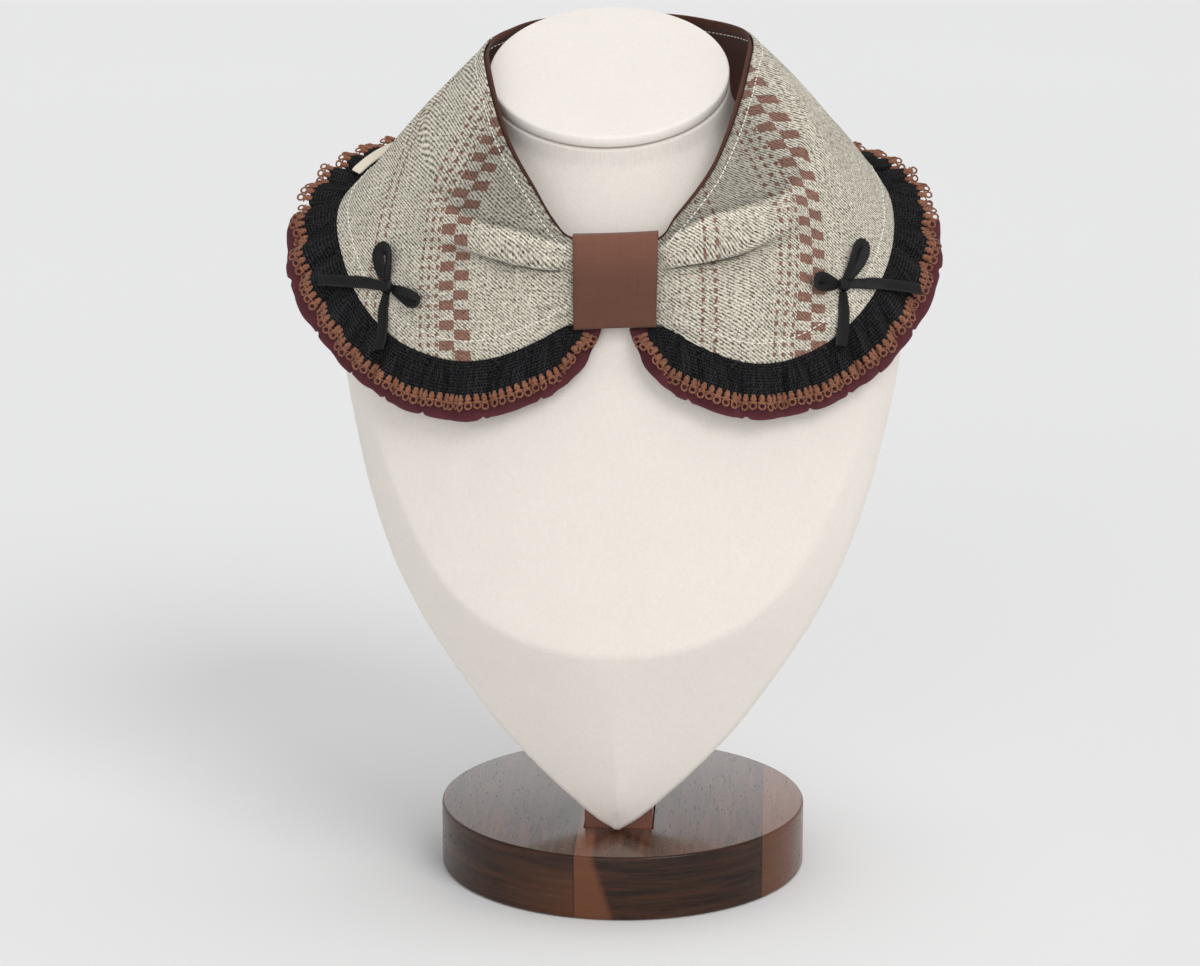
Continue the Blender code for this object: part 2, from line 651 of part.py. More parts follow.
def add_knot(collection, name, point, out):
    work = bmesh.new()
    bmesh.ops.create_cube(work, size=1.0)
    bmesh.ops.scale(work, vec=KNOT_SIZE, verts=work.verts)
    bmesh.ops.bevel(work, geom=work.edges[:], offset=1.1 * MM, segments=2, affect="EDGES", profile=0.5)
    mesh = bpy.data.meshes.new(name)
    work.to_mesh(mesh)
    work.free()
    mesh.materials.append(finish("black ribbon"))
    made = bpy.data.objects.new(name, mesh)
    normal = Vector(out)
    across = Vector((1, 0, 0)) - normal * normal.x
    across.normalize()
    turn = Matrix((across, normal.cross(across), normal)).transposed()
    made.matrix_world = Matrix.Translation(Vector(point)) @ turn.to_4x4()
    collection.objects.link(made)


def add_bows(collection):
    for side, name in ((-1, "bow_left"), (1, "bow_right")):
        bow, surface = BOWS[name], FrontSurface(side)
        knot = [value * MM for value in bow["knot"]]
        point, out = surface.above(knot[0], knot[1], KNOT_LIFT + KNOT_SIZE[2] / 2)
        add_knot(collection, name + "_knot", point, out)
        for piece in ("loop_up", "loop_side", "tail_side", "tail_down"):
            ribbon(collection, f"{name}_{piece}", surface, knot, bow[piece])


# Bust


def nearest_on(line, x, z):
    """Distance from a place to a line of points, and how far along it the nearest place is."""
    best, along = 1e9, 0.0
    for index, (start, end) in enumerate(zip(line, line[1:])):
        run = (end[0] - start[0], end[1] - start[1])
        share = ((x - start[0]) * run[0] + (z - start[1]) * run[1]) / (run[0] ** 2 + run[1] ** 2)
        share = min(max(share, 0.0), 1.0)
        apart = math.hypot(x - start[0] - run[0] * share, z - start[1] - run[1] * share)
        if apart < best:
            best, along = apart, index + share
    return best, along


def chest_front(x, z):
    return CHEST_TOP[1] - CHEST_SLOPE * (CHEST_TOP[0] - z) + x * x / (2 * CHEST_BOW)


def front_of(x, z):
    """y of the bust's front: the chest inside its crest, and the slope from there out to the edge."""
    heights = [row[1] for row in CREST]
    crest_x = np.interp(z, heights, [row[0] for row in CREST])
    if z >= CREST[0][1] and x <= crest_x:
        return chest_front(x, z)
    outline = [(row[1], row[0]) for row in BUST_ROWS]
    to_crest, on_crest = nearest_on(CREST, x, z)
    to_edge, on_edge = nearest_on([(0.0, outline[0][1])] + outline, x, z)
    places = range(len(CREST))
    start = chest_front(*(np.interp(on_crest, places, column) for column in zip(*CREST)))
    edges = [BUST_ROWS[0][2]] + [row[2] for row in BUST_ROWS]
    end = np.interp(on_edge, range(len(edges)), edges)
    share = to_crest / (to_crest + to_edge)
    return start + (end - start) * share**BEVEL_POWER


def front_shares(crest_share):
    crest = min(max(crest_share, CREST_SHARES[0]), CREST_SHARES[1])
    inner = [crest * share for share in INNER_SHARES]
    return inner + [crest + (1 - crest) * share for share in OUTER_SHARES]


def back_half(half, edge_back, back):
    points = []
    for step in range(BACK_CELLS + 1):
        angle = step / BACK_CELLS * math.pi / 2
        depth = (back - edge_back) * math.sin(angle) ** 0.8
        points.append((half * math.cos(angle) ** 0.7, edge_back + depth))
    return points


def chest_half(row):
    """Half a chest section, from the middle of the front round to the middle of the back, in mm."""
    z, half, _, edge_back, back = row
    crest_x = np.interp(z, [row[1] for row in CREST], [row[0] for row in CREST])
    points = []
    for share in front_shares(crest_x / half):
        turn = EDGE_ROUND * max(0.0, (share - 0.85) / 0.15) ** 3
        points.append((half * share, front_of(half * share, z) + turn))
    return points + back_half(half, edge_back, back)


def shoulder_half(half, front, edge, edge_back, back):
    """Half a section through the shoulders, bowed from the middle of the front out to the side."""
    points = []
    for share in front_shares(0.8):
        points.append((half * share, edge + (front - edge) * (1 - share**2.6)))
    return points + back_half(half, edge_back, back)


def ellipse_half(half, front, back):
    points = []
    centre, depth = (front + back) / 2, (back - front) / 2
    for step in range(FRONT_CELLS + 1):
        angle = step / FRONT_CELLS * math.radians(86)
        points.append((half * math.sin(angle), centre - depth * math.cos(angle)))
    for step in range(BACK_CELLS + 1):
        angle = math.radians(94) + step / BACK_CELLS * math.radians(86)
        points.append((half * math.sin(angle), centre - depth * math.cos(angle)))
    return points


def whole_ring(points, height, shift=0.0, slant=0.0):
    ring = [(x - shift, y) for x, y in points] + [(-x - shift, y) for x, y in points[-2:0:-1]]
    slope = math.tan(NECK_SLANT) * slant
    return [(x * MM, y * MM, (height + slope * y) * MM) for x, y in ring]


def bust_rings():
    rings = [whole_ring(chest_half(row), row[0]) for row in BUST_ROWS]
    for z, half, shift, front, back, edge, edge_back, roundness, slant in SHOULDER_ROWS:
        flat = shoulder_half(half, front, edge, edge_back, back)
        rounded = ellipse_half(half, front, back)
        mixed = [
            (a[0] + (b[0] - a[0]) * roundness, a[1] + (b[1] - a[1]) * roundness)
            for a, b in zip(flat, rounded)
        ]
        rings.append(whole_ring(mixed, z, shift, slant))
    return rings


def add_bust(collection, cutters):
    rings = bust_rings()
    count = len(rings[0])
    points = [point for ring in rings for point in ring]
    faces = []
    for row in range(len(rings) - 1):
        for here in range(count):
            there = (here + 1) % count
            lower, upper = row * count, (row + 1) * count
            faces.append((lower + here, lower + there, upper + there, upper + here))
    faces.append(tuple(range(count - 1, -1, -1)))
    faces.append(tuple((len(rings) - 1) * count + here for here in range(count)))
    made = add_mesh(collection, "bust", points, faces, "bust cover")
    room = MORTISE_CLEARANCE
    mortise = cutter_box(
        "post_mortise",
        (-POST_WIDTH / 2 - room, POST_FRONT - room, 20 * MM),
        (POST_WIDTH / 2 + room, POST_BACK + room, POST_HEAD + room),
    )
    cutters.objects.link(mortise)
    cut(made, mortise)


def add_cap(collection):
    work = bmesh.new()
    bmesh.ops.create_cone(
        work, cap_ends=True, segments=48, radius1=1.0, radius2=1.0, depth=CAP_THICKNESS,
    )
    rims = [edge for edge in work.edges if all(abs(v.co.z) > CAP_THICKNESS * 0.49 for v in edge.verts)]
    top = [edge for edge in rims if all(v.co.z > 0 for v in edge.verts)]
    bmesh.ops.scale(work, vec=(NECK_HALF_WIDTH, NECK_HALF_DEPTH, 1.0), verts=work.verts)
    bmesh.ops.bevel(work, geom=top, offset=1.4 * MM, segments=2, affect="EDGES", profile=0.5)
    slope = math.tan(NECK_SLANT)
    for vertex in work.verts:
        vertex.co.z += slope * vertex.co.y + CAP_MIDDLE + GAP + CAP_THICKNESS / 2
        vertex.co.x += NECK_SHIFT
    mesh = bpy.data.meshes.new("neck_cap")
    work.to_mesh(mesh)
    work.free()
    mesh.materials.append(finish("bust cover"))
    collection.objects.link(bpy.data.objects.new("neck_cap", mesh))


def add_base(collection, cutters):
    work = bmesh.new()
    bmesh.ops.create_cone(
        work, cap_ends=True, segments=64, radius1=BASE_RADIUS, radius2=BASE_RADIUS, depth=BASE_THICKNESS,
    )
    half = BASE_THICKNESS / 2
    rims = [edge for edge in work.edges if abs(edge.verts[0].co.z - edge.verts[1].co.z) < half]
    bmesh.ops.bevel(work, geom=rims, offset=BASE_EDGE, segments=2, affect="EDGES", profile=0.5)
    bmesh.ops.translate(work, vec=(0, 0, half), verts=work.verts)
    mesh = bpy.data.meshes.new("base_disc")
    work.to_mesh(mesh)
    work.free()
    mesh.materials.append(finish("walnut"))
    base = bpy.data.objects.new("base_disc", mesh)
    collection.objects.link(base)
    room = MORTISE_CLEARANCE
    mortise = cutter_box(
        "base_mortise",
        (-POST_WIDTH / 2 - room, POST_FRONT - room, POST_FOOT),
        (POST_WIDTH / 2 + room, POST_BACK + room, BASE_THICKNESS + 5 * MM),
    )
    cutters.objects.link(mortise)
    cut(base, mortise)
    post = cutter_box(
        "post",
        (-POST_WIDTH / 2, POST_FRONT, POST_FOOT + GAP),
        (POST_WIDTH / 2, POST_BACK, POST_HEAD),
    )
    post.hide_render = False
    post.display_type = "TEXTURED"
    post.data.materials.append(finish("walnut"))
    collection.objects.link(post)


def main():
    clear_scene()
    collection = bpy.data.collections.new("lace collar on a bust")
    bpy.context.scene.collection.children.link(collection)
    cutters = bpy.data.collections.new("cutters")
    bpy.context.scene.collection.children.link(cutters)
    add_base(collection, cutters)
    add_bust(collection, cutters)
    add_cap(collection)
    add_collar(collection)
    add_band(collection)
    add_bows(collection)
    add_label(collection)


main()
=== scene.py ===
# A woven collar with a gathered lace edge, on a pointed neck bust with a post and a round base.
# Metres, Z up, the wearer's front towards -Y. Pieces named Right lie at +X, the viewer's right.
import math

import bmesh
import bpy
import numpy as np
from mathutils import Matrix, Vector


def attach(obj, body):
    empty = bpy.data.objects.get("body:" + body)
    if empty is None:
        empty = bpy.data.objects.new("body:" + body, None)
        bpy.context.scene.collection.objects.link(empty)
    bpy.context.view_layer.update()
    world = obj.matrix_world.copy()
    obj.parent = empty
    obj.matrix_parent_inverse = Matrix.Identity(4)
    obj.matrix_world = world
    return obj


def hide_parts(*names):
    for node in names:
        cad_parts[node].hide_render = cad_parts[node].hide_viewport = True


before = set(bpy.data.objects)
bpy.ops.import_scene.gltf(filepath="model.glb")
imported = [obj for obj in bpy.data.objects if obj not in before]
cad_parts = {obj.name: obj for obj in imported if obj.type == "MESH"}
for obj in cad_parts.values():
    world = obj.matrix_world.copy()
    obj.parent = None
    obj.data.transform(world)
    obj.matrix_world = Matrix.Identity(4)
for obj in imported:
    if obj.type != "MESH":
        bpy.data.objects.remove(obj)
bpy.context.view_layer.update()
print("frame loaded", len(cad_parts), "nodes")

scene = bpy.context.scene
scene.view_settings.view_transform = "Standard"
mm = 0.001
uvUnit = 100 * mm  # one unit of the "flat" UV map, which holds each cloth's own flat coordinates


def newObject(name, data):
    made = bpy.data.objects.new(name, data)
    scene.collection.objects.link(made)
    return made


def aim(thing, place, direction, axis):
    thing.location = place
    thing.rotation_mode = "QUATERNION"
    thing.rotation_quaternion = Vector(direction).to_track_quat(axis, "Y")


# Camera, found from the base's rim and the post

view = {
    "eye": (0.0624, -1.3907, 0.5051),
    "forward": (-0.0509, 0.9718, -0.23),
    "lens": 96.0,
    "sensor": 36.0,
    "near": 0.05,
    "far": 40.0,
}
cameraData = bpy.data.cameras.new("photoView")
cameraData.lens = view["lens"]
cameraData.sensor_width = view["sensor"]
cameraData.clip_start = view["near"]
cameraData.clip_end = view["far"]
photoView = newObject("photoView", cameraData)
aim(photoView, view["eye"], view["forward"], "-Z")
scene.camera = photoView
print("camera set")


# Shader wiring


def tone(red, green, blue):
    linear = []
    for value in (red / 255, green / 255, blue / 255):
        linear.append(value / 12.92 if value < 0.04045 else ((value + 0.055) / 1.055) ** 2.4)
    return (*linear, 1.0)


class Wire:
    # What comes out of a node, so that formulas on it can be written plainly.
    def __init__(self, wiring, socket):
        self.wiring = wiring
        self.socket = socket

    def __add__(self, other):
        return self.wiring.math("ADD", self, other)

    def __radd__(self, other):
        return self.wiring.math("ADD", other, self)

    def __sub__(self, other):
        return self.wiring.math("SUBTRACT", self, other)

    def __rsub__(self, other):
        return self.wiring.math("SUBTRACT", other, self)

    def __mul__(self, other):
        return self.wiring.math("MULTIPLY", self, other)

    def __truediv__(self, other):
        return self.wiring.math("DIVIDE", self, other)

    def __gt__(self, other):
        return self.wiring.math("GREATER_THAN", self, other)

    def __lt__(self, other):
        return self.wiring.math("LESS_THAN", self, other)

    def __abs__(self):
        return self.wiring.math("ABSOLUTE", self)


class Wiring:
    def __init__(self, tree):
        self.tree = tree

    def node(self, kind, **settings):
        made = self.tree.nodes.new(kind)
        for key, value in settings.items():
            setattr(made, key, value)
        return made

    def feed(self, socket, value):
        if isinstance(value, Wire):
            self.tree.links.new(value.socket, socket)
        else:
            socket.default_value = value

    def put(self, kind, inputs=None, **settings):
        # Adds a node, feeds its inputs by name or number, and returns what comes out of it.
        made = self.node(kind, **settings)
        for key, value in (inputs or {}).items():
            self.feed(made.inputs[key], value)
        return [Wire(self, output) for output in made.outputs]

    def math(self, operation, *values, clamp=False):
        return self.put("ShaderNodeMath", dict(enumerate(values)), operation=operation, use_clamp=clamp)[0]

    def sine(self, value):
        return self.math("SINE", value)

    def vector(self, operation, *values):
        return self.put("ShaderNodeVectorMath", dict(enumerate(values)), operation=operation)[0]

    def mix(self, factor, first, second, blend="MIX"):
        inputs = {0: factor, 6: first, 7: second}
        return self.put("ShaderNodeMix", inputs, data_type="RGBA", blend_type=blend)[2]

    def span(self, value, low, high, toLow=0.0, toHigh=1.0):
        given = (value, low, high, toLow, toHigh)
        return self.put("ShaderNodeMapRange", dict(enumerate(given)), clamp=True)[0]

    def noise(self, place, scale, detail=2.0, roughness=0.5, stretch=None):
        if stretch:
            place = self.vector("MULTIPLY", place, stretch)
        inputs = {"Vector": place, "Scale": scale, "Detail": detail, "Roughness": roughness}
        return self.put("ShaderNodeTexNoise", inputs)[0]

    def place(self, group, **values):
        return {wire.socket.name: wire for wire in self.put("ShaderNodeGroup", values, node_tree=group)}

    def split(self, vector):
        return self.put("ShaderNodeSeparateXYZ", {0: vector})

    def join(self, x, y, z=0.0):
        return self.put("ShaderNodeCombineXYZ", {0: x, 1: y, 2: z})[0]

    def scaled(self, vector, factor):
        return self.put("ShaderNodeVectorMath", {0: vector, "Scale": factor}, operation="SCALE")[0]

    def coordinates(self, name):
        return Wire(self, self.node("ShaderNodeTexCoord").outputs[name])

    def uvMap(self, name):
        return self.put("ShaderNodeUVMap", uv_map=name)[0]

    def flatMm(self):
        return self.scaled(self.uvMap("flat"), uvUnit / mm)

    def objectMm(self):
        return self.scaled(self.coordinates("Object"), 1 / mm)

    def bump(self, height, distance, strength):
        return self.put("ShaderNodeBump", {"Strength": strength, "Distance": distance, "Height": height})[0]


def newTree(name, kind, inputs, outputs):
    # A node group whose inputs and outputs are named, each with its kind of socket.
    tree = bpy.data.node_groups.new(name, kind + "NodeTree")
    for way, sockets in (("INPUT", inputs), ("OUTPUT", outputs)):
        for label, socket in sockets.items():
            tree.interface.new_socket(name=label, in_out=way, socket_type="NodeSocket" + socket)
    w = Wiring(tree)
    given = {wire.socket.name: wire for wire in w.put("NodeGroupInput")}
    return tree, w, given, w.node("NodeGroupOutput").inputs


def makePlainWeave():
    inputs = {"Place": "Vector", "Thread": "Float", "Depth": "Float", "Slub": "Float"}
    tree, w, given, result = newTree("plainWeave", "Shader", inputs, {"Tone": "Float", "Height": "Float"})
    place = given["Place"]
    x, y, _ = w.split(place)
    across, along = x / given["Thread"], y / given["Thread"]
    over = w.math("PINGPONG", w.math("FLOOR", across) + w.math("FLOOR", along), 1.0)
    height = abs(w.sine(across * math.pi)) * over + abs(w.sine(along * math.pi)) * (1.0 - over)
    streaks = w.noise(place, 1.0, stretch=(1.6, 0.05, 1.0)) + w.noise(place, 1.0, stretch=(0.05, 1.6, 1.0))
    streaks = (streaks - 1.0) * given["Slub"]
    w.feed(result["Tone"], 1.0 + (height - 0.6) * given["Depth"] + streaks * 2.0)
    w.feed(result["Height"], height)
    return tree


def makeMottle():
    inputs = {"Place": "Vector", "Fine": "Float", "Broad": "Float"}
    tree, w, given, result = newTree("mottle", "Shader", inputs, {"Tone": "Float"})
    fine = w.noise(given["Place"], 1.4, 3.0, 0.7) - 0.5
    broad = w.noise(given["Place"], 0.06) - 0.5
    w.feed(result["Tone"], 1.0 + (fine * given["Fine"] + broad * given["Broad"]) * 2.0)
    return tree


plainWeave = makePlainWeave()
mottle = makeMottle()


def newMaterial(name, roughness, sheen=0.0, specular=0.15):
    made = bpy.data.materials.new(name)
    made.use_nodes = True
    shader = made.node_tree.nodes["Principled BSDF"].inputs
    shader["Roughness"].default_value = roughness
    shader["Sheen Weight"].default_value = sheen
    shader["Specular IOR Level"].default_value = specular
    return made, Wiring(made.node_tree), shader


def mottled(w, place, fine, broad):
    return w.place(mottle, Place=place, Fine=fine, Broad=broad)["Tone"]


def tinted(w, colour, *factors):
    for factor in factors:
        colour = w.mix(1.0, colour, w.join(factor, factor, factor), "MULTIPLY")
    return colour


def dress(w, shader, colour, height, distance, strength):
    w.feed(shader["Base Color"], colour)
    w.feed(shader["Normal"], w.bump(height, distance, strength))


wovenSettings = {  # places and sizes in mm
    "lightThread": tone(223, 215, 198),
    "darkGap": tone(62, 59, 51),
    "check": tone(92, 63, 52),
    "checkThread": tone(158, 120, 105),
    "twillPitch": 1.2,
    "twillSlope": (0.6, 0.8),
    "checkPitch": 8.3,
    "repeat": 110.0,
    "repeatFrom": 60.0,
    "checkFrom": 0.2,
    "checkMiddle": 7.6,
    "checkTo": 15.0,
    "checkShiftRight": 0.01,
    "checkShiftLeft": 0.35,
    "dotPitch": 4.15,
    "smallDots": (-1.2, -5.0, -9.1),
    "smallDotHalf": (0.72, 0.9),
    "longDots": ((-34.0, 0.2), (-39.3, 0.05)),
    "longDotHalf": (0.62, 1.1),
}


def dotColumn(w, u, v, middle, half, shift):
    pitch = wovenSettings["dotPitch"]
    turn = w.math("FRACT", v / pitch + (shift + 0.5))
    return (abs(u - middle) < half[0]) * (abs(turn - 0.5) < half[1] / pitch)


def makeWovenCloth(name, checkShift):
    s = wovenSettings
    made, w, shader = newMaterial(name, 0.92, sheen=0.1, specular=0.1)
    place = w.flatMm()
    elsewhere = w.vector("ADD", place, (31.0, 17.0, 5.0))
    wobble = w.join(w.noise(place, 0.9) - 0.5, w.noise(elsewhere, 0.9) - 0.5)
    flatU, flatV, _ = w.split(w.vector("ADD", place, w.vector("MULTIPLY", wobble, (1.5, 1.5, 0.0))))
    u = w.math("FLOORED_MODULO", flatU + s["repeatFrom"], s["repeat"]) - s["repeatFrom"]
    turns = flatV / s["checkPitch"] - checkShift + (u > s["checkMiddle"]) * 0.5
    turns = w.math("FRACT", turns + 0.5)
    mask = (abs(turns - 0.5) < 0.25) * ((u > s["checkFrom"]) * (u < s["checkTo"]))
    dots = [(middle, s["smallDotHalf"], -2 * checkShift) for middle in s["smallDots"]]
    dots += [(middle, s["longDotHalf"], shift) for middle, shift in s["longDots"]]
    for dot in dots:
        mask = w.math("MAXIMUM", mask, dotColumn(w, u, flatV, *dot))

    # Broken twill: short light floats along the slant, with dark gaps between them
    x, y, _ = w.split(place)
    steep, flat = s["twillSlope"]
    across, along = x * steep + y * flat, x * flat - y * steep
    slub = w.noise(w.join(across * 1.05, along * 0.55), 1.0, 2.0, 0.6)
    flecks = w.noise(place, 1.0, 2.0, 0.7, stretch=(1.25, 1.05, 1.0))
    warpStreak = w.noise(place, 1.0, stretch=(0.9, 0.05, 1.0)) - 0.5
    weftStreak = w.noise(place, 1.0, stretch=(0.05, 0.9, 1.0)) - 0.5
    uneven = w.span(slub, 0.34, 0.62, -0.3, 0.24) + w.span(flecks, 0.34, 0.62, -0.34, 0.26)
    threads = w.sine(across * (2 * math.pi / s["twillPitch"])) * 0.38
    cover = w.math("ADD", 0.62 + threads, uneven + (warpStreak + weftStreak) * 0.6, clamp=True)
    ground = w.mix(cover, s["darkGap"], s["lightThread"])
    checks = w.mix(cover * 0.85, s["check"], s["checkThread"])
    # painted shade and highlight from the cloth's own UV map, multiplied into its colour
    paintedShadingTone = w.split(w.uvMap("wear"))[0]
    coloured = tinted(w, w.mix(mask, ground, checks), mottled(w, place, 0.04, 0.09), paintedShadingTone)
    dress(w, shader, coloured, cover, 0.0003, 0.6)
    return made


def makePlainCloth(name, colour, thread, depth, slub, roughness=0.88, sheen=0.2, paintedTopLight=None):
    made, w, shader = newMaterial(name, roughness, sheen=sheen)
    place = w.flatMm()
    woven = w.place(plainWeave, Place=place, Thread=thread, Depth=depth, Slub=slub)
    cloth = tinted(w, colour, woven["Tone"], mottled(w, place, 0.05, 0.08))
    if paintedTopLight:
        low, high, gain = paintedTopLight  # a painted highlight: the cloth is painted lighter between these heights in mm, where the light catches it
        cloth = tinted(w, cloth, w.span(w.split(w.objectMm())[2], low, high, 1.0, gain))
    dress(w, shader, cloth, woven["Height"], 0.00012, 0.35)
    return made


laceNet = {
    "row": 1.45,
    "stitch": 1.3,
    "thread": tone(44, 44, 46),
    "hole": tone(7, 7, 8),
}


def makeBlackLace():
    s = laceNet
    made, w, shader = newMaterial("blackLace", 0.9, specular=0.12)
    place = w.flatMm()
    x, y, _ = w.split(place)
    row = y / s["row"]
    holeX = w.sine((x / s["stitch"] + w.math("FLOOR", row) * 0.5) * math.pi)
    net = abs(holeX) * abs(w.sine(row * math.pi))
    broken = w.noise(place, 0.8, 3.0, 0.7) - 0.5
    ribs = w.noise(place, 1.0, 2.0, 0.6, stretch=(0.7, 0.05, 1.0)) - 0.5
    hole = w.span(net * 0.75 + (broken * 1.9 + ribs * 1.3), 0.05, 0.55)
    dress(w, shader, w.mix(hole, s["thread"], s["hole"]), 1.0 - hole, 0.0005, 0.9)
    return made


twoTones = {
    "crochet": (tone(94, 60, 46), tone(162, 108, 82)),
    "ribbon": (tone(13, 13, 14), tone(28, 28, 30)),
    "stitch": (tone(228, 224, 213), tone(247, 244, 237)),
    "floor": (tone(238, 238, 238), tone(241, 241, 241)),
}


def makeCrochet():
    made, w, shader = newMaterial("crochetThread", 0.85, sheen=0.1)
    at = w.objectMm()
    twist = w.noise(at, 1.5, 2.0, 0.6, stretch=(1.0, 1.0, 1.6))
    thread = w.mix(w.span(twist, 0.32, 0.66), *twoTones["crochet"])
    patches = w.span(w.noise(at, 0.12, 1.0), 0.2, 0.8, 0.85, 1.12)
    dress(w, shader, tinted(w, thread, patches), twist, 0.0004, 0.8)
    return made


def makeRibbonSatin():
    made, w, shader = newMaterial("ribbonSatin", 0.42, specular=0.22)
    x, y, _ = w.split(w.flatMm())
    ribs = w.sine(y * (2 * math.pi / 0.9))
    colour = w.mix(w.span(abs(x), 1.9, 2.4), *twoTones["ribbon"])
    dress(w, shader, tinted(w, colour, 1.0 + ribs * 0.4), ribs, 0.00012, 0.6)
    return made


def makeStitchThread():
    made, w, shader = newMaterial("stitchThread", 0.8)
    twist = w.noise(w.objectMm(), 3.0, 2.0, 0.6)
    dress(w, shader, w.mix(twist, *twoTones["stitch"]), twist, 0.0001, 0.5)
    return made


bustSettings = {
    "cover": tone(226, 219, 211),
    "cap": tone(238, 231, 224),
    "seam": tone(150, 124, 104),
    "neckSlant": math.radians(26.5),
}


def makeBustCover(name, colour, weave, seamAtNeck=False):
    made, w, shader = newMaterial(name, 0.95, sheen=0.2, specular=0.1)
    at = w.objectMm()
    _, y, z = w.split(at)
    speck = w.noise(at, 0.9, 3.0, 0.75)
    pile = w.noise(at, 0.55, 2.0, 0.6, stretch=(1.0, 1.0, 0.45))
    lines = w.noise(at, 1.0, 2.0, 0.6, stretch=(1.5, 1.5, 0.07))
    fuzz = (speck - 0.5) * 0.16 + 1.0 + (pile - 0.5) * 0.06
    fuzz = fuzz + (lines - 0.5) * (w.span(z, 300.0, 330.0) * weave)  # woven ribs on the neck only
    cover = tinted(w, colour, fuzz, mottled(w, at, 0.02, 0.02))
    if seamAtNeck:
        level = z - y * math.tan(bustSettings["neckSlant"])
        cover = w.mix(w.span(level, 355.7, 356.3, 0.85, 0.0), cover, bustSettings["seam"])
    dress(w, shader, cover, speck + lines, 0.0003, 0.35)
    return made


walnutSettings = {
    "plankEdges": (-17.8, 63.8),  # x of the glued joints, in mm
    "sideFrom": 81.6,
    "dark": tone(24, 16, 13),
    "middle": tone(50, 33, 26),
    "light": tone(98, 62, 43),
    "pore": tone(30, 20, 17),
    "warm": tone(134, 82, 54),
    "post": tone(150, 82, 50),
}


def makeWalnutGrain():
    s = walnutSettings
    inputs, outputs = {"Place": "Vector", "Plank": "Float"}, {"Colour": "Color", "Pores": "Float"}
    tree, w, given, result = newTree("walnutGrain", "Shader", inputs, outputs)
    shifted = w.vector("ADD", given["Place"], w.join(given["Plank"] * 37.0, 0.0, 0.0))
    bands = w.noise(shifted, 1.0, 3.0, 0.55, stretch=(0.045, 0.006, 0.05))
    figure = w.noise(shifted, 1.0, 3.0, 0.6, stretch=(0.5, 0.03, 0.5))
    fibre = w.noise(shifted, 1.0, 3.0, 0.7, stretch=(2.6, 0.12, 2.6))
    pores = w.span(w.noise(shifted, 1.0, 1.0, 0.4, stretch=(1.5, 0.16, 1.5)), 0.66, 0.72)
    wood = w.mix(w.span(bands, 0.3, 0.7), s["dark"], s["middle"])
    wood = w.mix(w.span(figure, 0.35, 0.75) * 0.5, wood, s["light"])
    wood = tinted(w, wood, w.span(fibre, 0.2, 0.8, 0.82, 1.15))
    w.feed(result["Colour"], w.mix(pores * 0.55, wood, s["pore"]))
    w.feed(result["Pores"], pores)
    return tree


walnutGrain = makeWalnutGrain()


def newWalnut(name):
    made, w, shader = newMaterial(name, 0.3, specular=0.35)
    shader["Coat Weight"].default_value = 0.5
    shader["Coat Roughness"].default_value = 0.14
    return made, w, shader


def varnish(w, shader, colour, pores):
    w.feed(shader["Roughness"], w.span(pores, 0.0, 1.0, 0.26, 0.5))
    dress(w, shader, colour, 1.0 - pores, 0.00012, 0.5)


def makeBaseWalnut():
    # Three planks glued side by side, whose grain runs on round the rim.
    made, w, shader = newWalnut("walnutBase")
    x, y, z = w.split(w.objectMm())
    first, last = walnutSettings["plankEdges"]
    sideFrom = walnutSettings["sideFrom"]
    onSide = w.math("SQRT", x * x + y * y) > sideFrom
    onTop = 1.0 - onSide

    def topOrSide(top, side):
        return w.span(onSide, 0.0, 1.0, top, side)

    roundSide = w.math("ARCTAN2", x, y * -1.0) * sideFrom
    place = w.join(x * onTop + z * onSide, y * onTop + roundSide * onSide, 3.0)
    grain = w.place(walnutGrain, Place=place, Plank=(x > first) + (x > last))
    strip = (x > first) * w.span(x + z * 0.32, first + 15.5, first + 18.5, 1.0, 0.0)
    blush = w.span(x, -52.0, first) * (x < first) * w.span(z + y * -0.02, 14.0, 26.0, 1.0, 0.0)
    warmth = w.math("ADD", strip * 0.5 + blush * 0.3, (x > last) * 0.42, clamp=True)
    colour = w.mix(warmth * topOrSide(0.6, 1.0), grain["Colour"], walnutSettings["warm"])
    seams = [w.span(abs(x - edge), 0.15, 0.5, 0.5, 1.0) for edge in (first, last)]
    # The top is painted 2.3 times lighter, a painted reflection of the bright surroundings, and the side is
    # painted a little darker, painted shade.
    colour = tinted(w, colour, *seams, topOrSide(2.3, 0.9))
    w.feed(shader["Specular IOR Level"], topOrSide(0.5, 0.15))
    w.feed(shader["Coat Weight"], topOrSide(0.6, 0.15))
    varnish(w, shader, colour, grain["Pores"])
    return made


def makePostWalnut():
    made, w, shader = newWalnut("walnutPost")
    x, y, z = w.split(w.objectMm())
    grain = w.place(walnutGrain, Place=w.join(x, z, y), Plank=2.0)
    varnish(w, shader, w.mix(0.5, grain["Colour"], walnutSettings["post"]), grain["Pores"])
    return made


def makeFloor():
    made, w, shader = newMaterial("paleFloor", 0.9, specular=0.05)
    cloud = w.noise(w.coordinates("Object"), 0.8, 1.0)
    w.feed(shader["Base Color"], w.mix(cloud, *twoTones["floor"]))
    return made


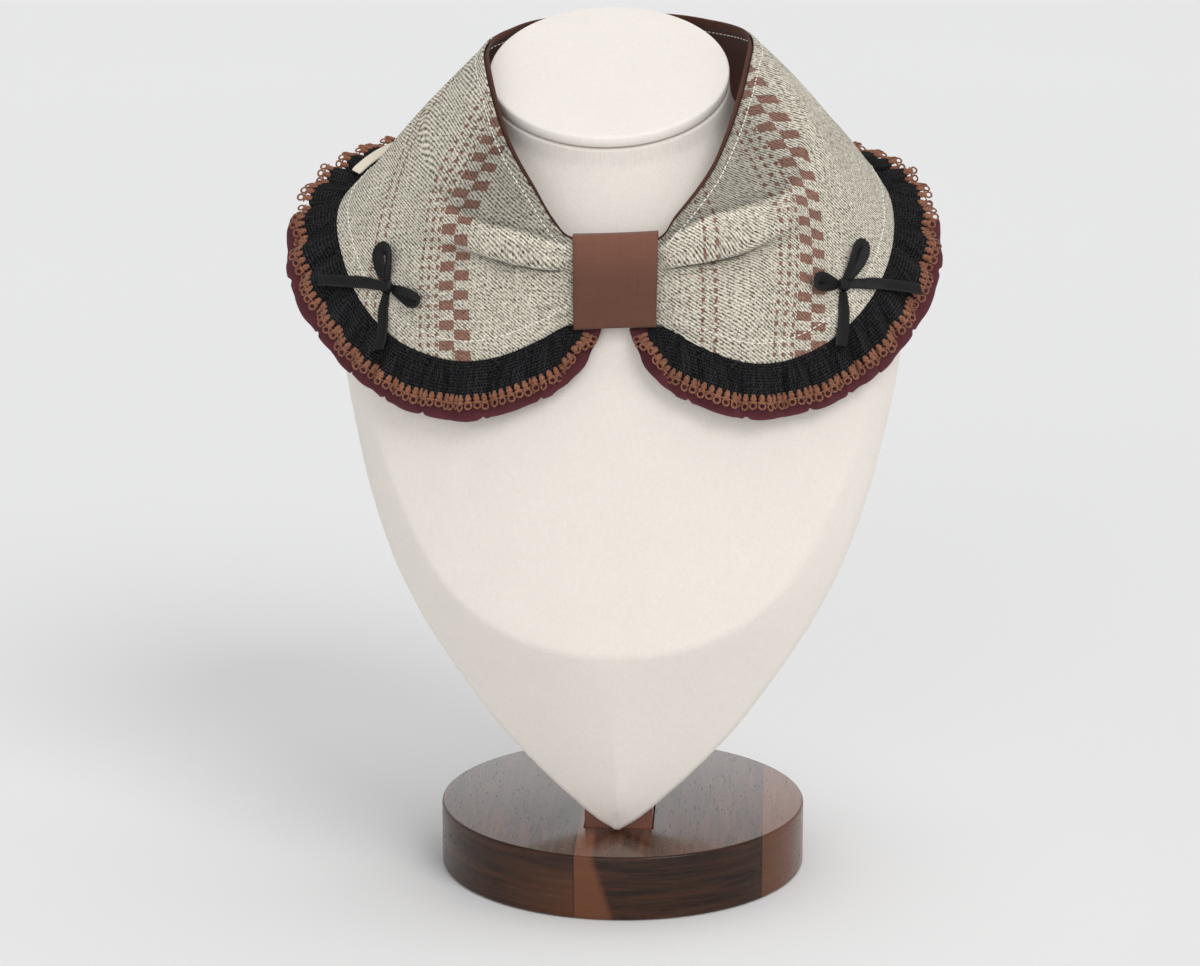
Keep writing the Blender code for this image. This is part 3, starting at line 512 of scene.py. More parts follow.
finishes = {
    "wovenRight": makeWovenCloth("wovenClothRight", wovenSettings["checkShiftRight"]),
    "wovenLeft": makeWovenCloth("wovenClothLeft", wovenSettings["checkShiftLeft"]),
    "lining": makePlainCloth("liningBrown", tone(84, 53, 43), 0.7, 0.3, 0.15, sheen=0.05),
    # the band is painted lighter towards its top, a painted highlight
    "band": makePlainCloth(
        "bandBrown", tone(99, 66, 54), 0.6, 0.14, 0.1, sheen=0.1, paintedTopLight=(281, 299, 1.5),
    ),
    "frill": makePlainCloth("burgundyFrill", tone(84, 40, 46), 0.6, 0.24, 0.12, roughness=0.8, sheen=0.1),
    "label": makePlainCloth("labelCream", tone(226, 216, 198), 0.4, 0.12, 0.05, roughness=0.6),
    "blackLace": makeBlackLace(),
    "crochet": makeCrochet(),
    "ribbon": makeRibbonSatin(),
    "stitch": makeStitchThread(),
    "bust": makeBustCover("bustVelvet", bustSettings["cover"], 0.22),
    "neckCap": makeBustCover("capVelvet", bustSettings["cap"], 0.0, seamAtNeck=True),
    "walnut": makeBaseWalnut(),
    "post": makePostWalnut(),
    "floor": makeFloor(),
}
print("materials made", len(finishes))


# Meshes


def readCorners(mesh):
    corners = np.empty(len(mesh.loops), np.int32)
    mesh.loops.foreach_get("vertex_index", corners)
    return corners


def addUv(mesh, name, values):
    pairs = np.asarray(values)[readCorners(mesh)]
    mesh.uv_layers.new(name=name).data.foreach_set("uv", pairs.astype(np.float32).ravel())


def newPiece(name, points, faces, finish, uv=None):
    mesh = bpy.data.meshes.new(name)
    mesh.from_pydata(np.asarray(points, float).tolist(), [], [tuple(map(int, face)) for face in faces])
    mesh.materials.append(finish)
    if uv is not None:
        addUv(mesh, "flat", np.asarray(uv) * mm / uvUnit)
    mesh.polygons.foreach_set("use_smooth", [True] * len(mesh.polygons))
    mesh.update()
    return newObject(name, mesh)


def gridFaces(rows, columns, first=0, flip=False):
    row, column = np.meshgrid(np.arange(rows - 1), np.arange(columns - 1), indexing="ij")
    here = (first + row * columns + column).ravel()
    faces = np.stack([here, here + columns, here + columns + 1, here + 1], axis=1)
    return faces[:, ::-1] if flip else faces


def ringFaces(rings, count, closed=False, ends=False):
    # Faces between rings of points: closed joins the last ring to the first, ends caps both.
    row, column = np.meshgrid(np.arange(rings - (not closed)), np.arange(count), indexing="ij")
    here, below, following = row * count, (row + 1) % rings * count, (column + 1) % count
    corners = [here + column, here + following, below + following, below + column]
    faces = np.stack(corners, axis=-1).reshape(-1, 4).tolist()
    if ends:
        faces.append(list(range(count - 1, -1, -1)))
        faces.append([(rings - 1) * count + at for at in range(count)])
    return faces


def unit(vectors):
    return vectors / np.linalg.norm(vectors, axis=-1, keepdims=True)


def lengthAlong(line):
    return np.concatenate([[0.0], np.cumsum(np.linalg.norm(np.diff(line, axis=0), axis=1))])


def between(before, start, end, after, part):
    # Catmull-Rom from start to end.
    curve = 2 * start + (end - before) * part + (2 * before - 5 * start + 4 * end - after) * part**2
    return (curve + (3 * start - before - 3 * end + after) * part**3) / 2


def denseLine(rows, each=12):
    rows = np.asarray(rows, float)
    padded = np.concatenate([[2 * rows[0] - rows[1]], rows, [2 * rows[-1] - rows[-2]]])
    part = np.linspace(0, 1, each, endpoint=False)[:, None]
    made = [between(*padded[at:at + 4], part) for at in range(len(rows) - 1)]
    return np.concatenate(made + [rows[-1:]])


def rimOf(rows, columns):
    rim = [row * columns for row in range(rows)]
    rim += [(rows - 1) * columns + column for column in range(1, columns)]
    rim += [row * columns + columns - 1 for row in range(rows - 2, -1, -1)]
    rim += list(range(columns - 2, 0, -1))
    return np.array(rim)


def addShell(name, upper, lower, finish, uv, fold=0.5):
    # Closed cloth between two grids, with a rounded rim that stands out by a share of its thickness.
    rows, columns = upper.shape[:2]
    count = rows * columns
    top, under, flat = upper.reshape(-1, 3), lower.reshape(-1, 3), uv.reshape(-1, 2)
    rim = rimOf(rows, columns)
    row, column = rim // columns, rim % columns
    inner = np.clip(row, 1, rows - 2) * columns + np.clip(column, 1, columns - 2)
    middle = (top + under) / 2
    thick = np.linalg.norm(top[rim] - under[rim], axis=1, keepdims=True)
    bulge = middle[rim] + unit(middle[rim] - middle[inner]) * thick * fold
    mid = 2 * count + np.arange(len(rim))
    rimNext, midNext = np.roll(rim, -1), np.roll(mid, -1)
    faces = np.concatenate([
        gridFaces(rows, columns),
        gridFaces(rows, columns, count, True),
        np.stack([rimNext, rim, mid, midNext], axis=1),
        np.stack([midNext, mid, rim + count, rimNext + count], axis=1),
    ])
    points, spread = np.concatenate([top, under, bulge]), np.concatenate([flat, flat, flat[rim]])
    return facesOut(newPiece(name, points, faces, finish, spread))


def facesOut(piece, merge=0.0):
    work = bmesh.new()
    work.from_mesh(piece.data)
    if merge:
        bmesh.ops.remove_doubles(work, verts=work.verts, dist=merge)
    bmesh.ops.recalc_face_normals(work, faces=work.faces)
    work.to_mesh(piece.data)
    work.free()
    return piece


def settle(piece):
    # Turns the evaluated result into a plain mesh and drops the modifiers.
    graph = bpy.context.evaluated_depsgraph_get()
    mesh = bpy.data.meshes.new_from_object(piece.evaluated_get(graph))
    piece.modifiers.clear()
    piece.data = mesh
    return piece


def treeModifier(piece, tree, values):
    # Grows a piece by a tree of Geometry Nodes, with its inputs set by their identifiers.
    step = piece.modifiers.new(tree.name, "NODES")
    step.node_group = tree
    for item in tree.interface.items_tree:
        if item.in_out == "INPUT" and item.name in values:
            step[item.identifier] = values[item.name]
    return settle(piece)


# The collar's ring of sections, the front centre, right side, back centre and left side, in mm
#    neck x,     y,     z,   edge x,     y,     z,    rim x,     y,     z,  puff
ringRows = np.array([
    (0.0, -78.5, 297.6, 0.0, -78.5, 263.4, 0.0, -84.5, 254.5, 0.0),
    (17.2, -78.5, 297.5, 17.2, -78.5, 263.1, 19.0, -87.5, 243.0, 0.0),
    (25.0, -75.0, 306.0, 31.0, -80.5, 256.2, 32.8, -88.0, 236.5, 3.0),
    (33.5, -66.0, 315.0, 46.0, -80.5, 250.0, 47.5, -88.0, 232.0, 5.0),
    (40.5, -57.5, 324.2, 60.0, -78.0, 246.8, 62.0, -85.5, 229.3, 6.0),
    (45.5, -47.5, 334.0, 75.0, -72.0, 248.2, 78.5, -79.0, 230.8, 6.0),
    (49.5, -36.0, 344.0, 91.0, -62.0, 254.8, 97.5, -69.0, 237.0, 5.0),
    (53.0, -21.0, 355.0, 105.5, -47.5, 267.0, 115.0, -54.0, 248.5, 4.0),
    (55.5, -5.0, 365.0, 114.3, -31.0, 281.3, 129.0, -36.5, 265.5, 4.0),
    (56.5, 6.0, 370.2, 117.5, -12.0, 295.0, 135.5, -15.0, 286.0, 3.6),
    (55.0, 17.0, 374.0, 114.5, 9.0, 307.8, 132.0, 12.0, 306.5, 3.2),
    (49.5, 30.0, 375.6, 102.5, 34.0, 316.5, 116.0, 38.5, 317.0, 2.2),
    (40.0, 44.0, 376.4, 81.0, 63.0, 318.0, 93.0, 77.0, 320.0, 2.4),
    (23.0, 60.0, 377.4, 46.0, 88.0, 318.0, 52.0, 106.0, 317.0, 3.4),
    (-3.0, 66.0, 378.0, -3.0, 98.0, 318.0, -3.0, 117.0, 314.0, 4.0),
    (-27.0, 60.0, 377.2, -50.0, 88.0, 318.0, -57.0, 105.5, 318.0, 3.0),
    (-44.5, 44.0, 376.0, -86.0, 62.0, 318.0, -99.0, 75.0, 322.0, 1.0),
    (-54.0, 28.0, 373.8, -107.5, 30.0, 315.5, -122.5, 38.0, 318.5, 0.0),
    (-60.0, 17.0, 371.2, -121.0, 6.0, 306.5, -140.5, 9.0, 306.0, 0.0),
    (-61.8, 5.0, 367.6, -125.0, -9.0, 296.0, -145.0, -10.0, 286.5, 1.0),
    (-60.5, -8.0, 363.0, -120.0, -29.0, 281.0, -137.0, -33.0, 265.5, 2.5),
    (-57.5, -21.5, 355.0, -110.0, -47.0, 265.5, -121.0, -52.5, 248.5, 4.0),
    (-53.0, -36.0, 344.0, -95.0, -61.0, 253.3, -101.5, -67.5, 234.6, 5.0),
    (-48.5, -47.0, 335.1, -78.0, -71.0, 247.5, -81.5, -78.5, 228.6, 6.0),
    (-43.0, -56.5, 326.6, -62.0, -77.5, 246.5, -64.0, -85.5, 227.4, 6.0),
    (-35.5, -66.0, 317.0, -46.0, -80.5, 250.0, -47.5, -88.0, 231.5, 5.0),
    (-26.5, -75.0, 304.8, -31.0, -80.5, 256.5, -32.5, -88.0, 236.5, 3.0),
    (-17.4, -78.5, 297.5, -17.2, -78.5, 263.1, -19.0, -87.5, 243.0, 0.0),
])
ringCount = len(ringRows)
backStation = ringCount // 2

# Station, ridge place, ridge height mm, crease place, crease depth mm of the roll gathered at the band
rollRight = np.array([
    (0.0, 0.05, 0.5, 0.34, 0.5),
    (1.05, 0.05, 0.6, 0.34, 0.6),
    (1.35, 0.065, 2.4, 0.35, 2.0),
    (2.0, 0.09, 3.6, 0.36, 3.0),
    (3.0, 0.15, 5.2, 0.39, 3.6),
    (4.0, 0.23, 4.8, 0.43, 3.0),
    (5.0, 0.31, 3.6, 0.47, 2.2),
    (6.0, 0.38, 2.2, 0.52, 1.2),
    (7.0, 0.43, 0.8, 0.57, 0.3),
    (8.0, 0.45, 0.0, 0.60, 0.0),
])
rollLeft = np.array([
    (0.0, 0.05, 0.5, 0.35, 0.5),
    (1.05, 0.05, 0.6, 0.35, 0.6),
    (1.35, 0.085, 2.2, 0.36, 2.0),
    (2.0, 0.15, 3.4, 0.39, 3.0),
    (3.0, 0.27, 4.6, 0.44, 3.6),
    (4.0, 0.34, 3.8, 0.47, 2.6),
    (5.0, 0.38, 2.4, 0.51, 1.6),
    (6.0, 0.42, 1.0, 0.57, 0.8),
    (7.0, 0.45, 0.0, 0.60, 0.0),
])

clothSettings = {
    "wall": 1.0,
    "neckHem": 5.0,
    "edgeHem": 8.5,
    "stitchIn": 0.6,  # from a hem's edge in to its line of stitches
    "hemRise": 0.3,
    "ridgeRise": 1.25,
    "ridgeSoft": 0.045,
    "creaseWidth": 0.022,
    "overhang": 0.055,
    "cellsAlong": 280,
    "cellsAcross": 120,
    "frontSeam": 0.009,
    "backSeam": 0.006,
}


def onRing(station, columns):
    station = np.atleast_1d(np.asarray(station, float))
    first = np.floor(station).astype(int)
    corners = [ringRows[(first + step) % ringCount][:, columns] for step in (-1, 0, 1, 2)]
    return between(*corners, (station - first)[:, None])


def neckAt(station):
    return onRing(station, slice(0, 3))


def edgeAt(station):
    return onRing(station, slice(3, 6))


def rimAt(station):
    return onRing(station, slice(6, 9))


def swellAt(station, place):
    return onRing(station, slice(9, 10)) * 4 * place * (1 - place)


def fromFront(station):
    station = np.atleast_1d(np.asarray(station, float)) % ringCount
    right = station <= backStation
    return np.where(right, station, ringCount - station), np.where(right, 1, -1)


def hump(place, middle, halfWidth):
    return np.exp(-(((place - middle) / halfWidth) ** 2))


def rollAt(station):
    away, side = fromFront(station)
    values = []
    for column in range(1, 5):
        right, left = (np.interp(away, roll[:, 0], roll[:, column]) for roll in (rollRight, rollLeft))
        values.append(np.where(side > 0, right, left)[:, None])
    return values


def outward(station):
    step = 0.02
    after = neckAt(station + step) + edgeAt(station + step)
    before = neckAt(station - step) + edgeAt(station - step)
    return unit(np.cross(edgeAt(station) - neckAt(station), after - before))


def halfStations(side, start, end, count):
    stations = np.linspace(start, end, count)
    return stations if side > 0 else ringCount - stations


def tightness(depth):
    # How hard the band pulls the cloth together, from the depth of the crease.
    return np.clip(depth - 0.6, 0, 3) / 3


def acrossAt(station):
    return np.linalg.norm(edgeAt(station) - neckAt(station), axis=1)


def overCone(station, place, height):
    # Points in mm at a share of the way from the neck line to the edge line, and a height off it.
    neck, edge = neckAt(station)[:, None], edgeAt(station)[:, None]
    return neck + (edge - neck) * place[..., None] + outward(station)[:, None] * height[..., None]


def clothFold(station, place):
    # Height of the roll, its crease, the hems and the small wrinkles, in mm, for grids of places.
    s = clothSettings
    ridge, rise, crease, depth = rollAt(station)
    away, side = fromFront(station)
    away, side = away[:, None], side[:, None]
    width = acrossAt(station)[:, None]
    tight = tightness(depth)
    flap = place / np.maximum(ridge, 0.04)
    bulge = np.clip((place - ridge) / (crease - ridge), 0, 1)
    roll = np.where(place < crease, 1 - 0.42 * bulge**2.4, 0.58 * np.exp(-(place - crease) / 0.09))
    soft = s["ridgeSoft"]
    roll = -soft * np.log(np.exp(-np.minimum(flap, 3) / soft) + np.exp(-roll / soft))
    high = rise * s["ridgeRise"]
    fold = high * roll
    upSide = s["creaseWidth"] + 0.03 * (1 - tight)
    downSide = s["creaseWidth"] + 0.055
    trough = np.where(place < crease, (crease - place) / upSide, (place - crease) / downSide)
    fold = fold - (depth + 0.58 * high * tight) * np.exp(-trough)
    fold = fold - 1.6 * tight * hump(place, 0.45 * ridge, 0.35 * ridge + 0.02)
    near = np.clip((away - 1.25) / 0.5, 0, 1) * np.exp(-np.clip(away - 1.5, 0, 9) / 1.3)
    fold = fold + 0.6 * near * np.sin(2 * math.pi * (place * 7.5 + 0.12 * away * side + 0.2))
    fold = fold + 0.45 * near * np.sin(2 * math.pi * (place * 3.1 - 0.3 * side))
    outer = np.clip((away - 5.0) / 2, 0, 1)
    fold = fold + outer * 0.8 * np.sin(away * 2.1 + 4.0 * place + side) * np.sin(math.pi * place)
    broad = 0.5 * np.sin(away * 3.7 + 7.0 * place) * np.sin(math.pi * place)
    fold = fold + broad * np.clip(away - 2.2, 0, 1)
    fromNeck, fromEdge = place * width, (1 - place) * width
    clear = np.clip((away - 1.3) / 0.4, 0, 1)
    for gap, hem in ((fromNeck, s["neckHem"]), (fromEdge, s["edgeHem"])):
        step = np.clip((hem + 0.5 - gap) / 1.0, 0, 1)
        fold = fold + clear * s["hemRise"] * step
        fold = fold - clear * 0.3 * hump(gap, hem - s["stitchIn"], 0.7)
    pucker = np.sin(away * 16.0 + 2.0 * np.sin(away * 5.0)) * hump(fromEdge, s["edgeHem"], 3.0)
    return fold + clear * 0.2 * pucker


def clothPoint(station, place, under=0.0):
    # Points of the outer cloth in mm, for stations down the grid and places across it.
    crease, depth = rollAt(station)[2:]
    tight = tightness(depth)
    lean = clothSettings["overhang"] * tight * hump(place, crease - 0.035, 0.04)
    return overCone(station, place + lean, swellAt(station, place) + clothFold(station, place) - under)


liningSettings = {
    "upper": 1.55,  # how far its two faces lie under the cloth, in mm
    "lower": 2.45,
    "frontSeam": 0.012,
    "backSeam": 0.008,
    "cellsAlong": 180,
}


def liningPoint(station, place, under):
    crease, depth = rollAt(station)[2:]
    within = np.clip(place, 0, 1)
    drop = depth * np.clip(within / (0.8 * crease), 0, 1)
    curl = np.interp(place, (-0.03, -0.014, 0.004), (-0.95, -0.5, 0.0))
    return overCone(station, place, swellAt(station, within) - drop - curl - under)


# The flat cut of one half, unrolled from the neck and edge lines, which the weave follows


def thirdCorner(first, second, toFirst, toSecond):
    apart = np.linalg.norm(second - first)
    run = (toFirst**2 - toSecond**2 + apart**2) / (2 * apart)
    rise = math.sqrt(max(toFirst**2 - run**2, 0.0))
    along = (second - first) / apart
    return first + along * run + np.array([-along[1], along[0]]) * rise


def flatCut(side):
    stations = np.linspace(0, backStation, 281)
    places = np.linspace(0, 1, 25)
    ring = stations if side > 0 else ringCount - stations
    neck, edge = neckAt(ring), edgeAt(ring)
    surface = overCone(ring, places[None, :], swellAt(ring, places))
    reach = np.cumsum(np.linalg.norm(np.diff(surface, axis=1), axis=2), axis=1)
    reach = np.concatenate([np.zeros((len(ring), 1)), reach], axis=1)
    width = reach[:, -1]
    top, bottom = [np.zeros(2)], [np.array([0.0, -width[0]])]
    for at in range(len(ring) - 1):
        step = np.linalg.norm(neck[at + 1] - neck[at])
        stretch = width[at] / np.linalg.norm(edge[at] - neck[at])
        slant = np.linalg.norm(edge[at] - neck[at + 1]) * stretch
        slant = slant if slant < width[at] + step else width[at]
        top.append(thirdCorner(top[at], bottom[at], step, slant))
        along = np.linalg.norm(edge[at + 1] - edge[at])
        bottom.append(thirdCorner(top[-1], bottom[at], width[at + 1], along))
    top, bottom = np.array(top), np.array(bottom)
    flat = top[:, None] + (bottom - top)[:, None] * (reach / width[:, None])[..., None]
    return stations, places, flat


weaveDrift = {  # where the columns stand along the cut, in mm, at each tenth of the way across
    1: (66, 70.5, 74.5, 78, 81.5, 82, 81, 79, 76.8, 75.6, 75.2),
    -1: (66, 69.5, 72, 75.5, 78.5, 78.5, 77.5, 77, 76, 75.2, 75),
}


def onFlat(flat, station, place):
    # Reads the flat cut at any station and place.
    stations, places, grid = flat
    away, _ = fromFront(station)
    row = np.clip(np.interp(away, stations, np.arange(len(stations))), 0, len(stations) - 1.001)
    column = np.clip(place, 0, 1) * (len(places) - 1.001)
    low, left = np.floor(row).astype(int), np.floor(column).astype(int)
    down, over = (row - low)[:, None, None], (column - left)[..., None]
    low = low[:, None]
    first = grid[low, left] * (1 - over) + grid[low, left + 1] * over
    last = grid[low + 1, left] * (1 - over) + grid[low + 1, left + 1] * over
    return first * (1 - down) + last * down


def weaveCoordinates(side, flat, station, place):
    # Distance from the column of checks, and length along it, so that its rows stay square to it.
    at = onFlat(flat, station, place)
    fine = np.linspace(0, 1, 101)
    kernel = np.exp(-(np.linspace(-2, 2, 13) ** 2))
    line = np.interp(fine, np.linspace(0, 1, 11), weaveDrift[side])
    line = np.convolve(np.pad(line, 6, mode="edge"), kernel / kernel.sum(), mode="valid")
    width = acrossAt(station)[:, None]
    slope = np.interp(place, fine, np.gradient(line, fine)) / -width
    fade = np.clip((at[..., 0] - 40) / 35, 0, 1)
    gap = at[..., 0] - 75 - (np.interp(place, fine, line) - 75) * fade
    turned = slope * fade
    along = at[..., 1] + turned * 24 * np.tanh(gap / 24)
    return np.stack([side * gap / np.sqrt(1 + turned**2), along], axis=-1)


def paintedShadingAt(station, place):
    # Painted shade: the cloth is painted darker on the neck's flap, in the crease and beside the band, with
    # a painted highlight along the ridge and a painted shadow line just above it.
    ridge, rise, crease, depth = rollAt(station)
    tight = np.clip(depth / 3, 0, 1)
    away = fromFront(station)[0][:, None]
    flap = np.clip((ridge - place) / 0.03 + 0.3, 0, 1) * np.clip(rise / 2, 0, 1)
    crevice = np.where(place < crease, np.exp(-(crease - place) / 0.012), np.exp(-(place - crease) / 0.05))
    beside = np.exp(-np.clip(away - 1.15, 0, 9) / 0.3)
    # painted highlight along the ridge, and a painted shadow line just above it
    crest = 0.16 * tight * hump(place, ridge + 0.03, 0.03)
    crest = crest - 0.28 * tight * hump(place, ridge - 0.022, 0.02)
    return (1 - 0.38 * flap) * (1 + crest) * (1 - 0.48 * tight * crevice) * (1 - 0.15 * beside)


def addCloth(side, word):
    s = clothSettings
    station = halfStations(side, s["frontSeam"], backStation - s["backSeam"], s["cellsAlong"] + 1)
    place = np.tile(np.linspace(0, 1, s["cellsAcross"] + 1), (len(station), 1))
    crease, depth = rollAt(station)[2:]
    gather = 0.05 * np.clip(depth / 3, 0, 1)  # packs the columns at the crease
    place = place + gather * np.sin(2 * math.pi * (place - crease)) * -1 * place * (1 - place) * 2
    upper, lower = (clothPoint(station, place, under) * mm for under in (0.0, s["wall"]))
    uv = weaveCoordinates(side, flatCuts[side], station, place)
    made = addShell("wovenCloth" + word, upper, lower, finishes["woven" + word], uv)
    # painted shade and highlight for each point, kept in a UV map that the woven cloth's colour is
    # multiplied by
    shade = paintedShadingAt(station, place)
    paintedShadingValues = shade.ravel()
    paintedShadingValues = np.concatenate([paintedShadingValues, paintedShadingValues, paintedShadingValues[rimOf(*shade.shape)]])
    addUv(made.data, "wear", np.stack([paintedShadingValues, np.zeros(len(paintedShadingValues))], axis=1))
    made.data.uv_layers.active_index = 0
    return made


def addLining(side, word):
    s = liningSettings
    station = halfStations(side, s["frontSeam"], backStation - s["backSeam"], s["cellsAlong"] + 1)
    across = np.concatenate([np.linspace(-0.03, 0.004, 6), np.linspace(0.02, 0.96, 30)])
    place = np.tile(across, (len(station), 1))
    upper, lower = (liningPoint(station, place, under) * mm for under in (s["upper"], s["lower"]))
    uv = onFlat(flatCuts[side], station, place)
    return addShell("lining" + word, upper, lower, finishes["lining"], uv)


sides = {"Right": 1, "Left": -1}
collar = {}
flatCuts = {side: flatCut(side) for side in sides.values()}
for word, side in sides.items():
    collar["cloth" + word] = addCloth(side, word)
    collar["lining" + word] = addLining(side, word)
print("cloth and lining made")


# Topstitching, laid along the hems by Geometry Nodes

stitchSettings = {
    "Pitch": 2.7 * mm,
    "Stitch length": 2.0 * mm,
    "Thread radius": 0.27 * mm,
    "Thread": finishes["stitch"],
}
hemLines = (  # first station, whether it follows the neck, lift off the cloth in mm, whether inside
    (1.3, True, 0.14, False),
    (1.25, False, 0.14, False),
    (9.0, True, 0.1, True),
)


def makeTree(name, settings, build):
    # A tree of Geometry Nodes that puts one shape at many points and gives them all one finish.
    kinds = {float: "Float", int: "Int"}
    inputs = {"Geometry": "Geometry"}
    inputs.update({label: kinds.get(type(value), "Material") for label, value in settings.items()})
    tree, w, given, result = newTree(name, "Geometry", inputs, {"Geometry": "Geometry"})
    copies, smooth = build(w, given)
    whole = w.put("GeometryNodeRealizeInstances", {0: w.put("GeometryNodeInstanceOnPoints", copies)[0]})[0]
    if smooth:
        whole = w.put("GeometryNodeSetShadeSmooth", {"Geometry": whole})[0]
    ready = w.put("GeometryNodeSetMaterial", {"Geometry": whole, "Material": given["Thread"]})[0]
    w.feed(result["Geometry"], ready)
    return tree


def moved(w, shape, **how):
    return w.put("GeometryNodeTransform", {"Geometry": shape, **how})[0]


def bead(w, rings, radius):
    return w.put("GeometryNodeMeshUVSphere", {"Segments": 6, "Rings": rings, "Radius": radius})[0]


def stitchShapes(w, given):
    path = w.put("GeometryNodeMeshToCurve", {"Mesh": given["Geometry"]})[0]
    spots = w.put("GeometryNodeCurveToPoints", {"Curve": path, "Length": given["Pitch"]}, mode="LENGTH")
    thick = given["Thread radius"]
    shape = moved(w, bead(w, 6, 1.0), Scale=w.join(thick, thick, given["Stitch length"] * 0.5))
    turn = w.put("FunctionNodeAlignRotationToVector", {"Vector": spots[1]}, axis="Z")[0]
    return {"Points": spots[0], "Instance": shape, "Rotation": turn}, False


stitchTree = makeTree("topstitch", stitchSettings, stitchShapes)


def addStitches(name, lines):
    points, edges = [], []
    for line in lines:
        first = len(points)
        points += line.tolist()
        edges += [(first + at, first + at + 1) for at in range(len(line) - 1)]
    mesh = bpy.data.meshes.new(name)
    mesh.from_pydata(points, edges, [])
    return treeModifier(newObject(name, mesh), stitchTree, stitchSettings)


def hemLine(side, start, fromNeck, lift, inside):
    station = halfStations(side, start, backStation - 0.02, 260)
    s = clothSettings
    inset = (s["neckHem" if fromNeck else "edgeHem"] - s["stitchIn"]) / acrossAt(station)
    place = (inset if fromNeck else 1 - inset)[:, None]
    if inside:
        return liningPoint(station, place, liningSettings["lower"] + lift)[:, 0] * mm
    return clothPoint(station, place, -lift)[:, 0] * mm


for word, side in sides.items():
    lines = [hemLine(side, *hem) for hem in hemLines]
    collar["stitches" + word] = addStitches("topstitch" + word, lines)
print("topstitching made")


# Centre band, a flat sleeve round the gathered cloth

bandSettings = {
    "half": 17.5,
    "bottom": 260.9,
    "top": 300.7,
    "front": -80.95,
    "back": -72.3,
    "wall": 1.2,
    "corner": 1.5,
    "bulge": 0.5,
    "tilt": 0.045,
    "cellsAlong": 30,
}


def roundedLoop(low, high, corner, cells=7, side=22):
    # Rounded rectangle in y and z, anticlockwise from the lower front, with its length along it.
    (y0, z0), (y1, z1) = np.add(low, corner), np.subtract(high, corner)
    centres = ((y1, z0), (y1, z1), (y0, z1), (y0, z0))
    points = []
    for quarter, (cy, cz) in enumerate(centres):
        for step in range(cells + 1):
            turn = (quarter - 1 + step / cells) * math.pi / 2
            points.append((cy + corner * math.cos(turn), cz + corner * math.sin(turn)))
        following = centres[(quarter + 1) % 4]
        turn = quarter * math.pi / 2
        start = np.array(points[-1])
        end = np.array((following[0] + corner * math.cos(turn), following[1] + corner * math.sin(turn)))
        steps = side if quarter in (0, 2) else 6
        points += [tuple(start + (end - start) * at / steps) for at in range(1, steps)]
    return np.array(points)


def addBand():
    s = bandSettings
    xs = np.linspace(-s["half"], s["half"], s["cellsAlong"] + 1)
    middle, tall = (s["bottom"] + s["top"]) / 2, s["top"] - s["bottom"]
    loops, uvs = [], []
    for inset in (0.0, s["wall"]):
        low = (s["front"] + inset, s["bottom"] + inset)
        high = (s["back"] - inset, s["top"] - inset)
        loop = roundedLoop(low, high, max(s["corner"] - 0.6 * inset, 0.4))
        around = lengthAlong(loop)
        fromMiddle = loop[:, 1] - middle
        height = fromMiddle / tall * 2
        front = np.clip((-76.5 - loop[:, 0]) / 3, 0, 1)
        for x in xs if inset == 0 else xs[::-1]:
            share = x / s["half"]
            edgeSoft = 0.35 * max(0.0, abs(share) - 0.93) / 0.07 if inset == 0 else -0.1
            y = loop[:, 0] - front * s["bulge"] * (1 - share**2) * (1 - height**2)
            y = y + front * 1.2 * np.clip((height - 0.3) / 0.7, 0, 1) ** 2
            y = y + edgeSoft * front + front * 0.12 * np.sin(height * 5 + 2.0 * share)
            z = middle + fromMiddle * (1 - 0.012 * (1 - share**2)) + s["tilt"] * x
            across = np.full(len(loop), x) + 0.02 * fromMiddle * -1 * (share < 0)
            across = across + 0.2 * np.sin(height * 2.2)
            loops.append(np.stack([across, y, z], axis=1))
            uvs.append(np.stack([around, np.full(len(loop), x)], axis=1))
    faces = ringFaces(len(loops), len(loops[0]), closed=True)
    points, uv = np.concatenate(loops) * mm, np.concatenate(uvs)
    return facesOut(newPiece("centreBand", points, faces, finishes["band"], uv))


collar["band"] = addBand()
print("centre band made")


# Gathered lace, looped edging and frill

laceSettings = {
    "laceWidth": 16.0,
    "edgingWidth": 6.0,
    "frillReach": 26.0,
    "pitch": 13.5,
    "height": 2.2,
    "lean": 2.7,
    "fullAt": 11.0,
    "from": 0.33,
    "frillTo": 9.6,
    "underBand": 2.5,
    "under": 0.2,
    "laceWall": 0.9,
    "frillWall": 1.0,
    "frillUnder": 2.05,
    "loopPitch": 3.3,
    "laceEnd": (8.0, 12.0),  # where the rounded front end starts, and how long it is
    "frillEnd": (0.5, 18.0),
}
rimReach = laceSettings["laceWidth"] + laceSettings["edgingWidth"]


def roundedEnd(length, end):
    start, run = end
    share = np.clip((np.asarray(length, float) - start) / run, 0.004, 1)
    return np.sqrt(1 - (1 - share) ** 2)[:, None]


def seamAt(station):
    away, _ = fromFront(station)
    seam = edgeAt(station)
    seam[:, 2] -= laceSettings["underBand"] * np.clip((1.45 - away) / 0.35, 0, 1)
    return seam


def waveCount(length):
    sway = 0.22 * np.sin(length / 9.5 * 0.62) + 0.16 * np.sin(length / 21 + 1.3)
    return length / laceSettings["pitch"] + sway


def seamTable(side):
    stations = halfStations(side, laceSettings["from"], backStation - 0.006, 1600)
    return stations, lengthAlong(seamAt(stations))


def ruffleOut(station):
    step = 0.02
    along = seamAt(station + step) - seamAt(station - step)
    return unit(np.cross(rimAt(station) - seamAt(station), along))


